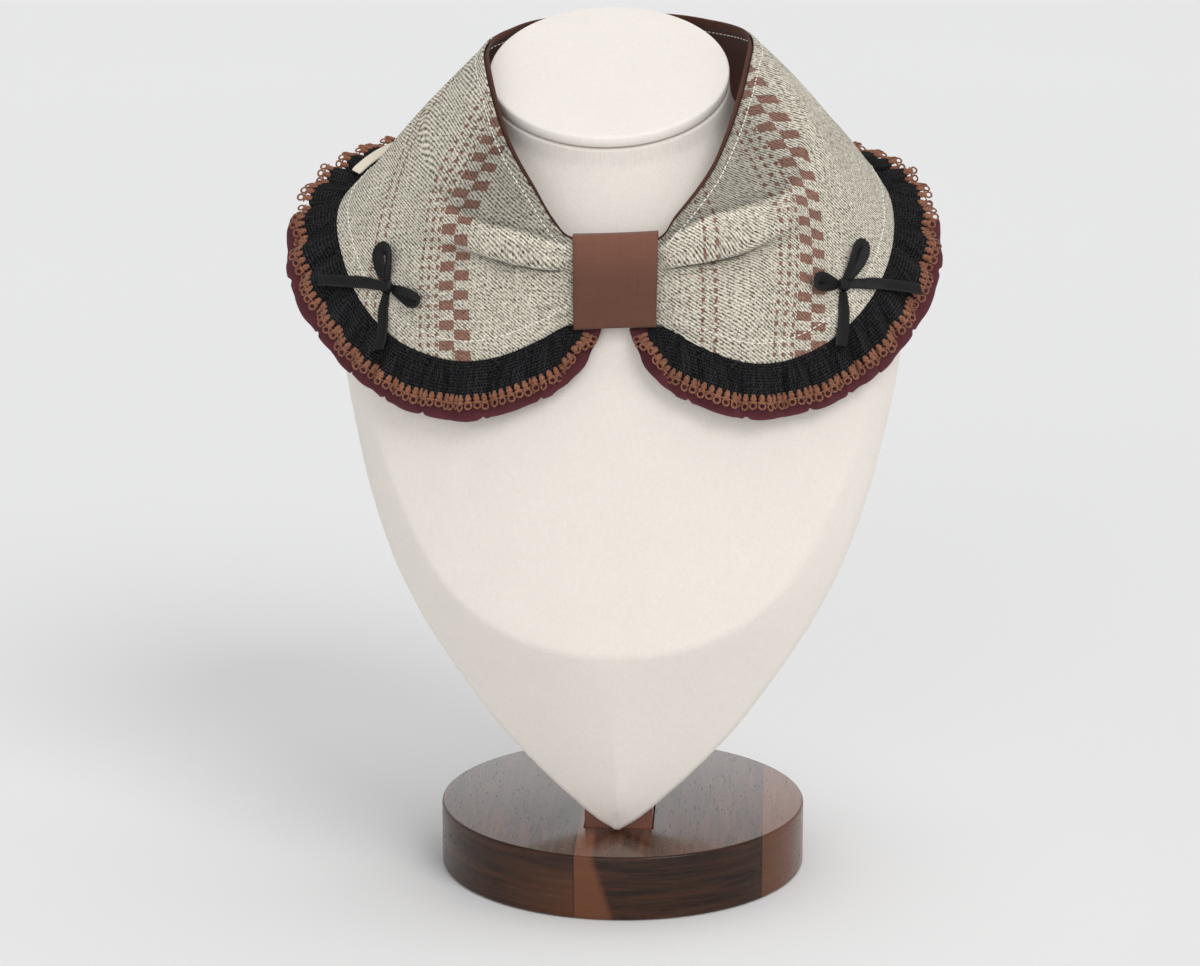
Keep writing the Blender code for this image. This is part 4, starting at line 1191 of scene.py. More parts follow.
def gatherPoint(side, length, reach, under, slack=0.0, soft=1.0, calm=1.0):
    # Points of the gathered lace in mm, for lengths along the seam and reaches out from it.
    # slack drops it away from the lace above, soft and calm weaken its tucks and its waves.
    s = laceSettings
    stations, lengths = seamTable(side)
    station = np.interp(length, lengths, stations)
    count = waveCount(length)[:, None]
    seam, rim = seamAt(station)[:, None], rimAt(station)[:, None]
    out = ruffleOut(station)[:, None]
    along = unit(seamAt(station + 0.01 * side) - seamAt(station - 0.01 * side))[:, None]
    turn = 2 * math.pi * count
    full = np.clip(reach / s["fullAt"], 0, 1)
    full = full * full * (3 - 2 * full)
    uneven = 0.82 + 0.28 * np.sin(1.7 * count + 0.6)
    fall = np.cos(turn) + 0.22 * np.cos(2 * turn + 0.7)
    wave = s["height"] * full * uneven * fall * calm
    loose = slack * full * (1.4 - 0.3 * np.cos(turn * 0.5 + 0.8))
    ends = np.clip(length / 6, 0, 1)[:, None] * np.clip((lengths[-1] - length) / 6, 0, 1)[:, None]
    lean = s["lean"] * soft * full * ends * (0.75 + 0.45 * np.sin(2.3 * count + 1.0)) * np.sin(turn)
    pleat = 0.5 * np.sin(turn * 3 + 1.5 * np.sin(count)) * (0.3 + 0.7 * np.exp(-reach / 9))
    pleat = pleat * np.clip(reach / 2, 0, 1)
    sway = 0.035 * calm * np.cos(turn) + 0.015 * np.sin(turn * 0.37)
    if calm < 1:
        sway = sway - 0.05 * hump((0.62 * count + 0.2) % 1, 0.5, 0.035)  # small steps in the frill's outline
    share = reach / rimReach * (1 + full * sway)
    raised = (wave - loose - under + pleat)[..., None]
    return seam + (rim - seam) * share[..., None] + out * raised + along * lean[..., None]


def gatheredSheet(name, side, end, lastLength, reaches, walls, finish, **hang):
    turned = end[0] + end[1] * (1 - np.cos(np.linspace(0, math.pi / 2, 16)))
    count = int(lastLength / 0.75) + 1
    lengths = np.concatenate([turned[:-1], np.linspace(turned[-1], lastLength, count)])
    reach = np.tile(reaches, (len(lengths), 1)) * roundedEnd(lengths, end)
    tucked = np.clip((42 - lengths) / 10, 0, 1)[:, None] * np.clip(1 - reaches / 3, 0, 1)
    reach = reach - 2.2 * tucked
    under, wall = walls
    upper = gatherPoint(side, lengths, reach, under, **hang)
    lower = gatherPoint(side, lengths, reach, under + wall, **hang)
    along = lengthAlong(upper[:, -1])
    uv = np.stack([np.tile(along[:, None], (1, reach.shape[1])), reach], axis=-1)
    return addShell(name, upper * mm, lower * mm, finish, uv), float(along[-1])


loopSettings = {
    "Loop radius": 1.35 * mm,
    "Loop place": 5.4 * mm,
    "Thread radius": 0.45 * mm,
    "Bar length": 4.7 * mm,
    "Bar width": 2.9 * mm,
    "Pitch": laceSettings["loopPitch"] * mm,
    "Seed": 7,
    "Thread": finishes["crochet"],
}


def loopShapes(w, given):
    # One open ring on a short bar, with a bar of chain across it.
    circle = "GeometryNodeCurvePrimitiveCircle"
    ring = w.put(circle, {"Resolution": 9, "Radius": given["Loop radius"]}, mode="RADIUS")[0]
    strand = w.put(circle, {"Resolution": 4, "Radius": given["Thread radius"]}, mode="RADIUS")[0]
    loop = w.put("GeometryNodeCurveToMesh", {"Curve": ring, "Profile Curve": strand})[0]
    wide, long = given["Bar width"], given["Bar length"]
    chain, thick, half = given["Pitch"] * 1.4, wide * 0.5, bead(w, 5, 0.5)
    shapes = (
        moved(w, loop, Translation=w.join(0.0, given["Loop place"], 0.0), Scale=(1.08, 1.0, 1.0)),
        moved(w, half, Scale=w.join(wide, long, wide * 0.75), Translation=w.join(0.0, long * 0.46, 0.0)),
        moved(w, half, Scale=w.join(chain, thick, thick), Translation=w.join(0.0, long * 0.82, 0.0)),
    )
    one = w.node("GeometryNodeJoinGeometry")
    for shape in shapes:
        w.feed(one.inputs[0], shape)
    turn = w.put("GeometryNodeInputNamedAttribute", {"Name": "turn"}, data_type="FLOAT_VECTOR")[0]
    sway = w.put("FunctionNodeRandomValue", {2: 0.9, 3: 1.08, "Seed": given["Seed"]}, data_type="FLOAT")[1]
    copies = {
        "Points": given["Geometry"],
        "Instance": Wire(w, one.outputs[0]),
        "Rotation": w.put("FunctionNodeEulerToRotation", {0: turn})[0],
        "Scale": w.join(1.0, sway, 1.0),
    }
    return copies, True


loopTree = makeTree("loopedEdging", loopSettings, loopShapes)


def loopSpots(side, lastLength):
    # Evenly spaced places along the lace's outer line, with the turn of each loop.
    s = laceSettings
    end, wide = s["laceEnd"], s["laceWidth"]
    lengths = np.linspace(end[0], lastLength - 0.6, 4000)
    under = s["under"] + s["laceWall"] / 2

    def line(reach, shift=0.0):
        return gatherPoint(side, lengths + shift, reach * roundedEnd(lengths, end), under)[:, 0]

    base = line(wide - 0.6)
    run = lengthAlong(line(18.0))
    count = int(run[-1] / s["loopPitch"])
    wanted = (np.arange(count) + 0.5) / count * run[-1]
    pick = np.interp(wanted, run, np.arange(len(lengths))).astype(int)
    reachWay = unit(line(wide + 4) - base)[pick]
    lengthWay = (line(wide, 0.4) - line(wide, -0.4))[pick]
    face = unit(np.cross(lengthWay, reachWay)) * side
    rim, reachOver = line(wide + 2), 30
    along = rim[np.minimum(pick + reachOver, len(rim) - 1)] - rim[np.maximum(pick - reachOver, 0)]
    along = unit(along - face * (along * face).sum(axis=1, keepdims=True)) * side
    stations, table = seamTable(side)
    facing = ruffleOut(np.interp(lengths[pick], table, stations))
    shown = (face * facing).sum(axis=1) < -0.25  # leaves out those inside a tuck
    turns = []
    for axes in zip(along[shown], np.cross(face, along)[shown], face[shown]):
        turns.append(tuple(Matrix(axes).transposed().to_euler("XYZ")))
    return base[pick][shown] * mm, np.array(turns), float(run[-1])


def addLoops(name, side, lastLength):
    spots, turns, length = loopSpots(side, lastLength)
    mesh = bpy.data.meshes.new(name)
    mesh.from_pydata(spots.tolist(), [], [])
    attribute = mesh.attributes.new("turn", "FLOAT_VECTOR", "POINT")
    attribute.data.foreach_set("vector", turns.astype(np.float32).ravel())
    return treeModifier(newObject(name, mesh), loopTree, loopSettings), length


laceLengths = {}
for word, side in sides.items():
    s = laceSettings
    stations, lengths = seamTable(side)
    away, _ = fromFront(stations)
    frillEnd = float(np.interp(s["frillTo"], away, lengths))
    laceEnd = float(lengths[-1])
    collar["lace" + word], laceLengths["lace" + word] = gatheredSheet(
        "blackLace" + word, side, s["laceEnd"], laceEnd, np.linspace(0.6, s["laceWidth"] + 0.9, 15),
        (s["under"], s["laceWall"]), finishes["blackLace"],
    )
    collar["edging" + word], laceLengths["edging" + word] = addLoops("loopedEdging" + word, side, laceEnd)
    collar["frill" + word], laceLengths["frill" + word] = gatheredSheet(
        "burgundyFrill" + word, side, s["frillEnd"], frillEnd, np.linspace(0.9, s["frillReach"] + 0.6, 22),
        (s["frillUnder"], s["frillWall"]), finishes["frill"], slack=1.1, soft=0.45, calm=0.25,
    )
print("lace, edging and frill made", {key: round(value, 1) for key, value in laceLengths.items()})


# Label, a short folded strip caught in the left shoulder seam


labelSettings = {
    "from": 10.35,
    "to": 12.0,
    "length": 24.0,
    "reach": (0.3, 3.9),
    "lift": 3.2,
    "rise": 4.6,
    "wall": 0.9,
    "cellsAlong": 33,
    "cellsAcross": 8,
}


def addLabel():
    # Both ends are caught in the seam, and the middle stands away from the lace.
    s = labelSettings
    count = s["cellsAlong"] + 1
    station = ringCount - np.linspace(s["from"], s["to"], count)
    along = np.linspace(0, 1, count)[:, None]
    seam, rim, out = seamAt(station)[:, None], rimAt(station)[:, None], ruffleOut(station)[:, None]
    reach = np.linspace(*s["reach"], s["cellsAcross"] + 1)
    lift = s["lift"] + s["rise"] * along**1.4 + 1.6 * reach / s["reach"][1] + 0.25 * np.sin(7 * along)
    upper = seam + (rim - seam) * (reach / rimReach)[None, :, None] + out * lift[..., None]
    lower = upper - out * s["wall"]
    uv = np.stack(np.meshgrid(np.linspace(0, s["length"], count), reach, indexing="ij"), axis=-1)
    return addShell("seamLabel", upper * mm, lower * mm, finishes["label"], uv, fold=0.6)


collar["label"] = addLabel()


# Bows of satin ribbon, in mm from the knot as seen from the front: x, z, width and lift off the cloth

bowTables = {
    "Left": {
        "knot": (-97.5, 272.2),
        "loopUp": (
            (-1.8, 2.4, 2.6, 0.9), (-3.6, 6.9, 4.4, 1.8), (-4.1, 11.2, 5.0, 2.6), (-3.3, 14.2, 4.8, 2.9),
            (-1.4, 15.2, 4.6, 3.0), (0.4, 14.2, 4.8, 2.9), (0.8, 11.5, 4.9, 2.6), (0.2, 7.4, 4.0, 1.8),
            (-0.2, 2.8, 2.4, 0.9),
        ),
        "loopSide": (
            (2.2, 0.3, 2.4, 0.9), (6.7, -0.6, 3.7, 1.8), (11.6, -1.7, 4.3, 2.5), (14.6, -3.0, 4.3, 2.7),
            (14.4, -4.8, 4.3, 2.6), (11.7, -5.1, 4.3, 2.4), (7.3, -3.2, 3.6, 1.8), (2.4, -0.9, 2.3, 0.9),
        ),
        "tailSide": (
            (-2.4, 0.4, 3.4, 0.6), (-11.8, 0.8, 5.1, 1.0), (-19.6, -0.1, 5.3, 1.6), (-25.9, -1.0, 5.3, 3.2),
            (-31.1, -2.1, 5.3, 4.4),
        ),
        "tailDown": (
            (-1.0, -2.2, 3.4, 0.6), (-1.9, -8.1, 5.0, 0.9), (-1.6, -14.8, 5.2, 1.4), (-1.3, -20.5, 5.3, 2.8),
            (-2.1, -25.7, 5.3, 3.8),
        ),
    },
    "Right": {
        "knot": (94.3, 274.7),
        "loopUp": (
            (1.2, 2.6, 2.4, 0.9), (3.3, 7.0, 4.0, 1.8), (4.2, 11.0, 4.7, 2.6), (5.2, 14.2, 4.7, 2.9),
            (6.8, 15.0, 4.6, 3.0), (8.2, 13.8, 4.7, 2.8), (8.0, 10.5, 4.6, 2.4), (5.9, 6.2, 3.8, 1.7),
            (2.7, 2.4, 2.2, 0.9),
        ),
        "loopSide": (
            (-2.2, 1.6, 2.4, 0.9), (-6.4, 3.1, 4.0, 1.8), (-10.0, 4.1, 4.6, 2.5), (-11.7, 3.2, 4.6, 2.7),
            (-11.6, 1.0, 4.6, 2.7), (-9.8, 0.1, 4.6, 2.5), (-6.3, 0.1, 3.9, 1.8), (-2.2, 0.4, 2.3, 0.9),
        ),
        "tailSide": (
            (2.4, 0.6, 3.4, 0.6), (12.4, -0.4, 5.1, 1.0), (19.9, -2.0, 5.3, 1.6), (25.7, -3.8, 5.4, 3.2),
            (32.3, -6.0, 5.4, 4.4),
        ),
        "tailDown": (
            (0.6, -2.4, 3.4, 0.6), (0.9, -8.7, 5.0, 0.9), (0.5, -15.2, 5.2, 1.4), (-0.9, -20.2, 5.3, 2.8),
            (-1.8, -24.4, 5.3, 3.8),
        ),
    },
}
bowSettings = {
    "wall": 0.55,
    "picotPitch": 0.9,
    "picot": 0.22,
    "cup": 0.25,
    "knot": (2.9, 2.7, 2.1),
}


def frontSurface(side):
    # Points and outward directions of the cloth and the lace beyond it, seen from the front.
    station = halfStations(side, 3.0, 11.0, 241)
    place = np.tile(np.linspace(0.3, 1.0, 80), (len(station), 1))
    points = [clothPoint(station, place).reshape(-1, 3)]
    outs = [np.repeat(outward(station), 80, axis=0)]
    seam, rim, ruffle = seamAt(station), rimAt(station), ruffleOut(station)
    for share in np.linspace(0.03, 1.0, 30):
        points.append(seam + (rim - seam) * share)
        outs.append(unit(outward(station) * (1 - share) + ruffle * share))
    return np.concatenate(points), np.concatenate(outs)


def aboveSurface(surface, x, z, lift):
    points, outs = surface
    apart = (points[:, 0] - x) ** 2 + (points[:, 2] - z) ** 2
    near = np.argsort(apart)[:40]
    weight = np.exp(-apart[near] / 2.0) + 1e-9
    weight = (weight / weight.sum())[:, None]
    out = unit((outs[near] * weight).sum(axis=0))
    return (points[near] * weight).sum(axis=0) + out * lift, out


def smoothRows(rows, step):
    # A smooth line through the rows, resampled at even steps in mm.
    made = denseLine(rows, 24)
    run = lengthAlong(made[:, :2])
    wanted = np.linspace(0, run[-1], max(int(run[-1] / step), 8) + 1)
    columns = [np.interp(wanted, run, column) for column in made.T]
    return np.stack(columns, axis=1), wanted


def addRibbon(name, surface, knot, rows, isLoop):
    s = bowSettings
    rows, run = smoothRows(rows, s["picotPitch"] / 2)
    spots = [aboveSurface(surface, knot[0] + x, knot[1] + z, lift) for x, z, _, lift in rows]
    middle, outs = (np.array(column) for column in zip(*spots))
    heading = unit(np.gradient(middle, axis=0))
    outs = unit(outs - heading * (outs * heading).sum(axis=1, keepdims=True))
    sideways = np.cross(heading, outs)
    if isLoop:
        x, z = rows[:, 0], rows[:, 1]
        turning = np.sign(np.sum(x * np.roll(z, -1) - z * np.roll(x, -1)))
        roll = 0.5 * np.sin(np.linspace(0, math.pi, len(rows)))[:, None] * -turning
        flat, tilt = np.cos(roll), np.sin(roll)
        sideways, outs = sideways * flat - outs * tilt, outs * flat + sideways * tilt
    half = rows[:, 2:3] / 2
    across = np.linspace(-1, 1, 9)
    inOut = np.where(np.arange(len(rows)) % 2, 1, -1)[:, None]
    picot = 1 + s["picot"] / half * inOut * (np.abs(across) > 0.99)
    offset = across * half * picot
    cup = -s["cup"] * (across**2) * np.minimum(half / 2.4, 1)
    upper = middle[:, None] + sideways[:, None] * offset[..., None]
    upper = upper + outs[:, None] * (cup + s["wall"])[..., None]
    lower = upper - outs[:, None] * s["wall"]
    if not isLoop:
        slant = np.clip((run - run[-1] + 3.0) / 3.0, 0, 1)[:, None] * across * 0.8
        upper, lower = (face + heading[:, None] * slant[..., None] for face in (upper, lower))
    uv = np.stack([offset, np.tile(run[:, None], (1, len(across)))], axis=-1)
    return addShell(name, upper * mm, lower * mm, finishes["ribbon"], uv, fold=0.3)


def addKnot(name, point, out):
    # A short wrapped knot: flattened, with the folds of the ribbon running up it.
    wide, tall, deep = bowSettings["knot"]
    normal = unit(np.array(out))
    across = unit(np.array([1.0, 0, 0]) - normal * normal[0])
    up = np.cross(normal, across)
    rings, segments = 22, 36
    points, uv = [], []
    for row in range(rings + 1):
        tilt = (row / rings - 0.5) * math.pi
        for segment in range(segments):
            turn = segment / segments * 2 * math.pi
            square = (abs(math.cos(turn)) ** 3 + abs(math.sin(turn)) ** 3) ** (-1 / 3)
            crease = 1 - 0.05 * math.cos(turn * 4 + 1) * math.cos(tilt)
            x = wide * math.cos(turn) * square * math.cos(tilt) ** 0.6 * crease
            y = deep * math.sin(turn) * square * math.cos(tilt) ** 0.6 * crease
            y = y + 0.22 * math.cos(x * 3.2) * math.cos(tilt)
            z = tall * math.sin(tilt)
            points.append(point + across * x + normal * y + up * z)
            uv.append((x, z))
    faces = ringFaces(rings + 1, segments)
    return facesOut(newPiece(name, np.array(points) * mm, faces, finishes["ribbon"], uv), merge=0.00002)


bowParts = {  # each piece of a bow, and the end of its node's name
    "knot": "_knot",
    "loopUp": "_loop_up",
    "loopSide": "_loop_side",
    "tailSide": "_tail_side",
    "tailDown": "_tail_down",
}
bows = {}
for word, bow in bowTables.items():
    surface = frontSurface(sides[word])
    made = bows[word] = {"knot": addKnot("bowKnot" + word, *aboveSurface(surface, *bow["knot"], 2.2))}
    for part in list(bowParts)[1:]:
        name = "bow" + part[0].upper() + part[1:] + word
        made[part] = addRibbon(name, surface, bow["knot"], bow[part], part.startswith("loop"))
print("bows made")


# Bust: a flat chest inside a curved crest, a sloping lower edge, and shoulders up to a slanted neck
#   z, half width, side's front y, side's back y, back y
bustRows = np.array([
    (32.6, 2.8, -56.0, -34.0, -32.0), (36.0, 8.0, -57.0, -28.0, -25.0), (41.0, 14.1, -57.5, -18.0, -15.0),
    (48.0, 21.6, -58.0, -8.0, -3.0), (56.0, 29.8, -58.5, 3.0, 7.0), (64.0, 37.4, -59.0, 12.0, 16.0),
    (73.0, 45.6, -59.5, 20.0, 24.0), (82.0, 53.1, -60.0, 26.0, 30.0), (91.0, 59.6, -60.5, 32.0, 36.0),
    (100.0, 65.7, -61.0, 35.0, 39.0), (109.0, 71.7, -61.5, 37.0, 41.0), (117.0, 76.8, -61.5, 39.0, 43.0),
    (123.0, 80.6, -61.5, 39.5, 44.0), (129.0, 84.3, -61.0, 40.0, 44.4), (138.0, 89.0, -60.0, 41.0, 45.0),
    (146.0, 93.2, -59.0, 41.5, 45.5), (157.0, 98.1, -57.0, 42.0, 46.0), (171.0, 103.3, -54.0, 42.0, 46.5),
    (188.0, 108.9, -49.0, 42.0, 47.0), (206.0, 113.7, -42.0, 41.0, 47.0), (225.0, 118.1, -36.0, 40.0, 47.0),
    (245.0, 121.2, -31.0, 38.0, 47.0), (267.0, 121.8, -25.0, 34.0, 47.0),
])
crestLine = np.array([
    (0.0, 126.0), (14.0, 126.4), (29.0, 128.6), (43.0, 132.6), (55.0, 138.0), (67.0, 146.0), (76.5, 156.0),
    (84.5, 168.0), (91.0, 180.0), (98.0, 195.0), (103.5, 211.0), (106.5, 226.0), (107.5, 246.0),
    (104.0, 267.0),
])
#   z, half, shift, front, back, edge front, edge back, roundness, slant
shoulderRows = np.array([
    (281.0, 118.0, 0.0, -67.0, 47.0, -20.0, 30.0, 0.0, 0.0),
    (291.0, 110.5, 0.6, -63.5, 47.0, -16.0, 26.0, 0.15, 0.04),
    (301.0, 100.0, 1.4, -60.0, 47.0, -13.0, 23.0, 0.35, 0.12),
    (311.0, 88.0, 2.3, -56.5, 47.0, -11.0, 20.0, 0.55, 0.22),
    (321.0, 75.5, 3.2, -53.0, 47.0, -9.0, 16.0, 0.75, 0.36),
    (331.0, 64.0, 4.2, -50.0, 47.0, -7.0, 10.0, 0.9, 0.55),
    (339.0, 56.5, 5.0, -48.0, 47.0, -5.0, 6.0, 1.0, 0.72),
    (346.0, 53.0, 5.8, -47.0, 47.0, -3.0, 3.0, 1.0, 0.88),
    (354.7, 52.2, 6.5, -47.0, 47.0, -3.0, 3.0, 1.0, 1.0),
])
bustShape = {
    "chestTop": (285.0, -66.0),
    "chestSlope": 0.25,
    "chestBow": 190.0,
    "crestSoft": 1.6,
    "edgeRound": 4.0,
    "neckHalf": (52.2, 47.0),
    "neckShift": -6.5,
    "columnsFront": 64,
    "columnsBack": 22,
    "from": 32.6,  # heights of the pointed end, of the chest's crest and of the shoulders' start
    "crestFrom": 126.0,
    "chestTo": 267.0,
    "pointFront": -56.0,
    "mortise": ((-15.5, -44.5, 20.0), (15.5, -7.5, 92.5)),
}

denseCrest = denseLine(crestLine)
denseRows = denseLine(bustRows)
crestFull = np.concatenate([denseCrest[::-1] * (-1, 1), denseCrest[1:]])


def chestFront(x, z):
    s = bustShape
    return s["chestTop"][1] - s["chestSlope"] * (s["chestTop"][0] - z) + x * x / (2 * s["chestBow"])


def nearest(x, z, line):
    # For arrays of x and z, which point of a line is nearest, and how far it is.
    apart = np.hypot(x[..., None] - line[:, 0], z[..., None] - line[:, 1])
    return apart.argmin(axis=-1), apart.min(axis=-1)


def frontOf(x, z):
    # y of the front for arrays of x and z, all with x from 0 outwards.
    s = bustShape
    outline = np.concatenate([[(0.0, s["from"])], denseRows[:, [1, 0]]])
    edges = np.concatenate([[s["pointFront"]], denseRows[:, 2]])
    onCrest, toCrest = nearest(x, z, crestFull)
    onEdge, toEdge = nearest(x, z, outline)
    inside = (z >= s["crestFrom"]) & (x <= np.interp(z, denseCrest[:, 1], denseCrest[:, 0]))
    signed = np.where(inside, -toCrest, toCrest)
    toCrest = (np.sqrt(signed**2 + s["crestSoft"] ** 2) + signed) / 2
    start = chestFront(crestFull[onCrest, 0], crestFull[onCrest, 1])
    share = np.clip(toCrest / (toCrest + toEdge + 1e-6), 0, 1)
    slope = start + (edges[onEdge] - start) * share**1.1
    blend = np.clip(signed / 3 + 0.5, 0, 1)
    return chestFront(x, z) * (1 - blend) + slope * blend


def backArc(half, edgeBack, back):
    turn = np.linspace(0, math.pi / 2, bustShape["columnsBack"] + 1)
    return np.stack([half * np.cos(turn) ** 0.7, edgeBack + (back - edgeBack) * np.sin(turn) ** 0.8], axis=1)


def frontShare():
    return np.sin(np.linspace(0, 1, bustShape["columnsFront"] + 1) * math.pi / 2) ** 0.9


def chestSection(row):
    z, half, _, edgeBack, back = row
    x = half * frontShare()
    turn = bustShape["edgeRound"] * np.clip((x - half + 5) / 5, 0, 1) ** 3
    front = np.stack([x, frontOf(x, np.full(len(x), z)) + turn], axis=1)
    return np.concatenate([front, backArc(half, edgeBack, back)])


def shoulderSection(row):
    _, half, _, front, back, edge, edgeBack, roundness, _ = row
    share = frontShare()
    flat = np.stack([half * share, edge + (front - edge) * (1 - share**2.6)], axis=1)
    flat = np.concatenate([flat, backArc(half, edgeBack, back)])
    centre, depth = (front + back) / 2, (back - front) / 2
    frontTurn = np.arcsin(np.clip(share, 0, 1)) * 86 / 90
    backTurn = np.radians(94) + np.linspace(0, 1, bustShape["columnsBack"] + 1) * np.radians(86)
    turn = np.concatenate([frontTurn, backTurn])
    oval = np.stack([half * np.sin(turn), centre - depth * np.cos(turn)], axis=1)
    return flat + (oval - flat) * roundness


def wholeRing(section, height, shift=0.0, slant=0.0):
    ring = np.concatenate([section * (1, 1) - (shift, 0), section[-2:0:-1] * (-1, 1) - (shift, 0)])
    slope = math.tan(bustSettings["neckSlant"]) * slant
    return np.stack([ring[:, 0], ring[:, 1], height + slope * ring[:, 1]], axis=1)


def newBox(name, low, high, bevel=0.0):
    work = bmesh.new()
    bmesh.ops.create_cube(work, size=1.0)
    bmesh.ops.scale(work, vec=[(b - a) * mm for a, b in zip(low, high)], verts=work.verts)
    bmesh.ops.translate(work, vec=[(a + b) / 2 * mm for a, b in zip(low, high)], verts=work.verts)
    if bevel:
        bmesh.ops.bevel(work, geom=work.edges[:], offset=bevel, segments=3, affect="EDGES", profile=0.5)
    mesh = bpy.data.meshes.new(name)
    work.to_mesh(mesh)
    work.free()
    return newObject(name, mesh)


def cutBox(target, low, high):
    cutter = newBox("mortiseShape", low, high)
    step = target.modifiers.new("mortise", "BOOLEAN")
    step.operation = "DIFFERENCE"
    step.solver = "EXACT"
    step.object = cutter
    settle(target)
    bpy.data.objects.remove(cutter, do_unlink=True)
    return target


def addBust():
    s = bustShape
    point = np.linspace(s["from"], 48, 12)[:-1]
    heights = np.concatenate([point, np.arange(48, s["chestTo"], 1.9), [s["chestTo"]]])
    rings = []
    for z in heights:
        row = [np.interp(z, denseRows[:, 0], denseRows[:, column]) for column in range(5)]
        rings.append(wholeRing(chestSection(row), z))
    shoulders = [wholeRing(shoulderSection(row), row[0], row[2], row[8]) for row in shoulderRows]
    table = np.array([rings[-6], rings[-1]] + shoulders)
    table = np.concatenate([table, [2 * table[-1] - table[-2]]])
    for at in range(1, len(table) - 2):
        steps = 8 if at == 1 else 6
        rings += [between(*table[at - 1:at + 3], part) for part in np.linspace(0, 1, steps + 1)[1:]]
    tip = rings[0].mean(axis=0)
    under = [tip + (rings[0] - tip) * share + (0, 0, -drop) for share, drop in ((0.45, 1.1), (0.85, 0.6))]
    rings = under + rings
    faces = ringFaces(len(rings), len(rings[0]), ends=True)
    made = facesOut(newPiece("bustForm", np.concatenate(rings) * mm, faces, finishes["bust"]))
    return cutBox(made, *s["mortise"])


bustForm = addBust()
print("bust made", len(bustForm.data.polygons), "faces")

capSettings = {
    "thickness": 5.0,
    "middle": 355.3,
    "round": 1.1,
    "segments": 144,
}


def addCap():
    s = capSettings
    wide, deep = bustShape["neckHalf"]
    shift, tall, corner = bustShape["neckShift"], s["thickness"], s["round"]
    profile = [(-30.0, 0.0), (-3.0, 0.0), (-0.6, 0.05), (0.0, 0.5)]  # inset and height, from below
    for turn in np.linspace(0, math.pi / 2, 9):
        profile.append((-corner * (1 - math.cos(turn)), tall - corner + corner * math.sin(turn)))
    profile += [(-6.0, tall + 0.12), (-16.0, tall + 0.3), (-32.0, tall + 0.45)]
    turn = np.linspace(0, 2 * math.pi, s["segments"], endpoint=False)
    slope = math.tan(bustSettings["neckSlant"])
    rings = []
    for inset, height in profile:
        x = (wide + inset) * np.cos(turn)
        y = (deep + inset * deep / wide) * np.sin(turn)
        rings.append(np.stack([x + shift, y, s["middle"] + height + slope * y], axis=1))
    middles = [(shift, 0, s["middle"]), (shift, 0, s["middle"] + tall + 0.5)]
    count, last = s["segments"], len(rings) * s["segments"]
    faces = ringFaces(len(rings), count)
    for here in range(count):
        there = (here + 1) % count
        faces += [(there, here, last), (last - count + here, last - count + there, last + 1)]
    return facesOut(newPiece("neckCap", np.concatenate(rings + [middles]) * mm, faces, finishes["neckCap"]))


neckCap = addCap()

baseSettings = {
    "radius": 82.5,
    "thickness": 29.0,
    "edge": 1.3,
    "segments": 192,
    "mortise": ((-15.5, -44.5, 12.0), (15.5, -7.5, 34.0)),
    "post": ((-15.0, -44.0, 12.3), (15.0, -8.0, 92.0)),
    "postEdge": 0.7,
}


def addBase():
    s = baseSettings
    edge, wide, top = s["edge"], s["radius"], s["thickness"]
    turn = np.linspace(0, 2 * math.pi, s["segments"], endpoint=False)
    corner = np.linspace(0, math.pi / 2, 6)
    profile = [(wide - edge * (1 - math.sin(t)), edge * (1 - math.cos(t))) for t in corner]
    profile += [(wide - edge * (1 - math.cos(t)), top - edge * (1 - math.sin(t))) for t in corner]
    x, y, level = np.cos(turn), np.sin(turn), np.ones(len(turn))
    rings = [np.stack([r * x, r * y, z * level], axis=1) for r, z in profile]
    faces = ringFaces(len(rings), s["segments"], ends=True)
    made = facesOut(newPiece("walnutBase", np.concatenate(rings) * mm, faces, finishes["walnut"]))
    cutBox(made, *s["mortise"])
    made.data.set_sharp_from_angle(angle=math.radians(40))
    return made


walnutBase = addBase()
walnutPost = newBox("walnutPost", *baseSettings["post"], bevel=baseSettings["postEdge"] * mm)
walnutPost.data.materials.append(finishes["post"])
print("base and post made")


# What each piece rides on, and the nodes that it replaces, which are hidden


def give(piece, slot, *nodes):
    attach(piece, "root")
    if nodes:
        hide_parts(*nodes)


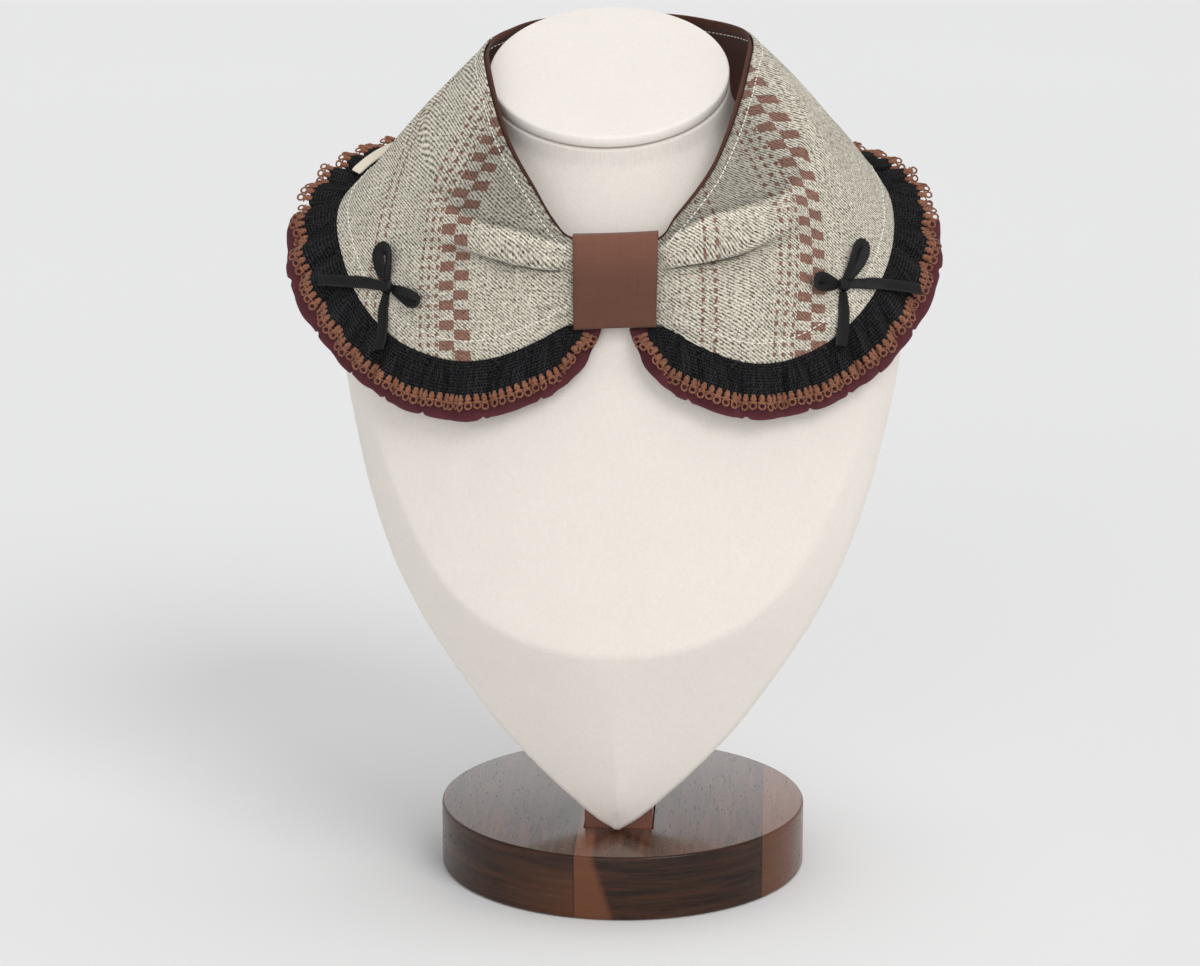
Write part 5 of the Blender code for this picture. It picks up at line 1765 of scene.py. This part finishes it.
clothParts = {  # each piece's node, and a slot name
    "cloth": "woven_cloth",
    "lining": "lining",
    "lace": "black_lace",
    "edging": "brown_edging",
    "frill": "burgundy_frill",
}
for word in sides:
    end = "_" + word.lower()
    cloth, bow = collar["cloth" + word], bows[word]
    for part, slot in clothParts.items():
        give(collar[part + word], slot, part + end)
    give(collar["stitches" + word], "label")
    for part, node in bowParts.items():
        give(bow[part], "black_ribbon", "bow" + end + node)
give(collar["band"], "brown_band", "centre_band")
give(collar["label"], "label", "side_label")
give(bustForm, "bust_cover", "bust")
give(neckCap, "bust_cover", "neck_cap")
give(walnutPost, "walnut", "post")
give(walnutBase, "walnut", "base_disc")
print("pieces placed")


# Floor and light

lightSettings = {  # each light's direction from the object, strength and angle in degrees
    "walls": 0.89,
    "ceiling": 0.28,
    "air": (0.985, 0.99, 1.0, 1.0),
    "key": ((0.55, -0.8, 0.8), 1.05, 28),
    "fill": ((-0.2, -1.0, 0.2), 0.55, 40),
    "top": ((0.15, 0.1, 1.0), 0.72, 50),
}


def addFloor(size=14.0, cells=8, drop=0.0002):
    spread = np.linspace(-size, size, cells + 1)
    x, y = np.meshgrid(spread, spread, indexing="ij")
    points = np.stack([x, y, np.full(x.shape, -drop)], axis=-1).reshape(-1, 3)
    made = newPiece("paleFloor", points, gridFaces(cells + 1, cells + 1), finishes["floor"])
    if made.data.polygons[0].normal.z < 0:
        made.data.flip_normals()


def addLight(name, direction, strength, spread):
    data = bpy.data.lights.new(name, "SUN")
    data.energy = strength
    data.angle = math.radians(spread)
    aim(newObject(name, data), direction, direction, "Z")


def addStudio():
    # Pale walls round the table, with a darker ceiling.
    world = bpy.data.worlds.new("studio")
    world.use_nodes = True
    w = Wiring(world.node_tree)
    height = w.split(w.coordinates("Generated"))[2]
    background = world.node_tree.nodes["Background"].inputs
    background["Color"].default_value = lightSettings["air"]
    glow = w.span(height, 0.3, 0.75, lightSettings["walls"], lightSettings["ceiling"])
    w.feed(background["Strength"], glow)
    scene.world = world


addFloor()
for name in ("key", "fill", "top"):
    addLight(name + "Light", *lightSettings[name])
addStudio()
print("floor and light made")
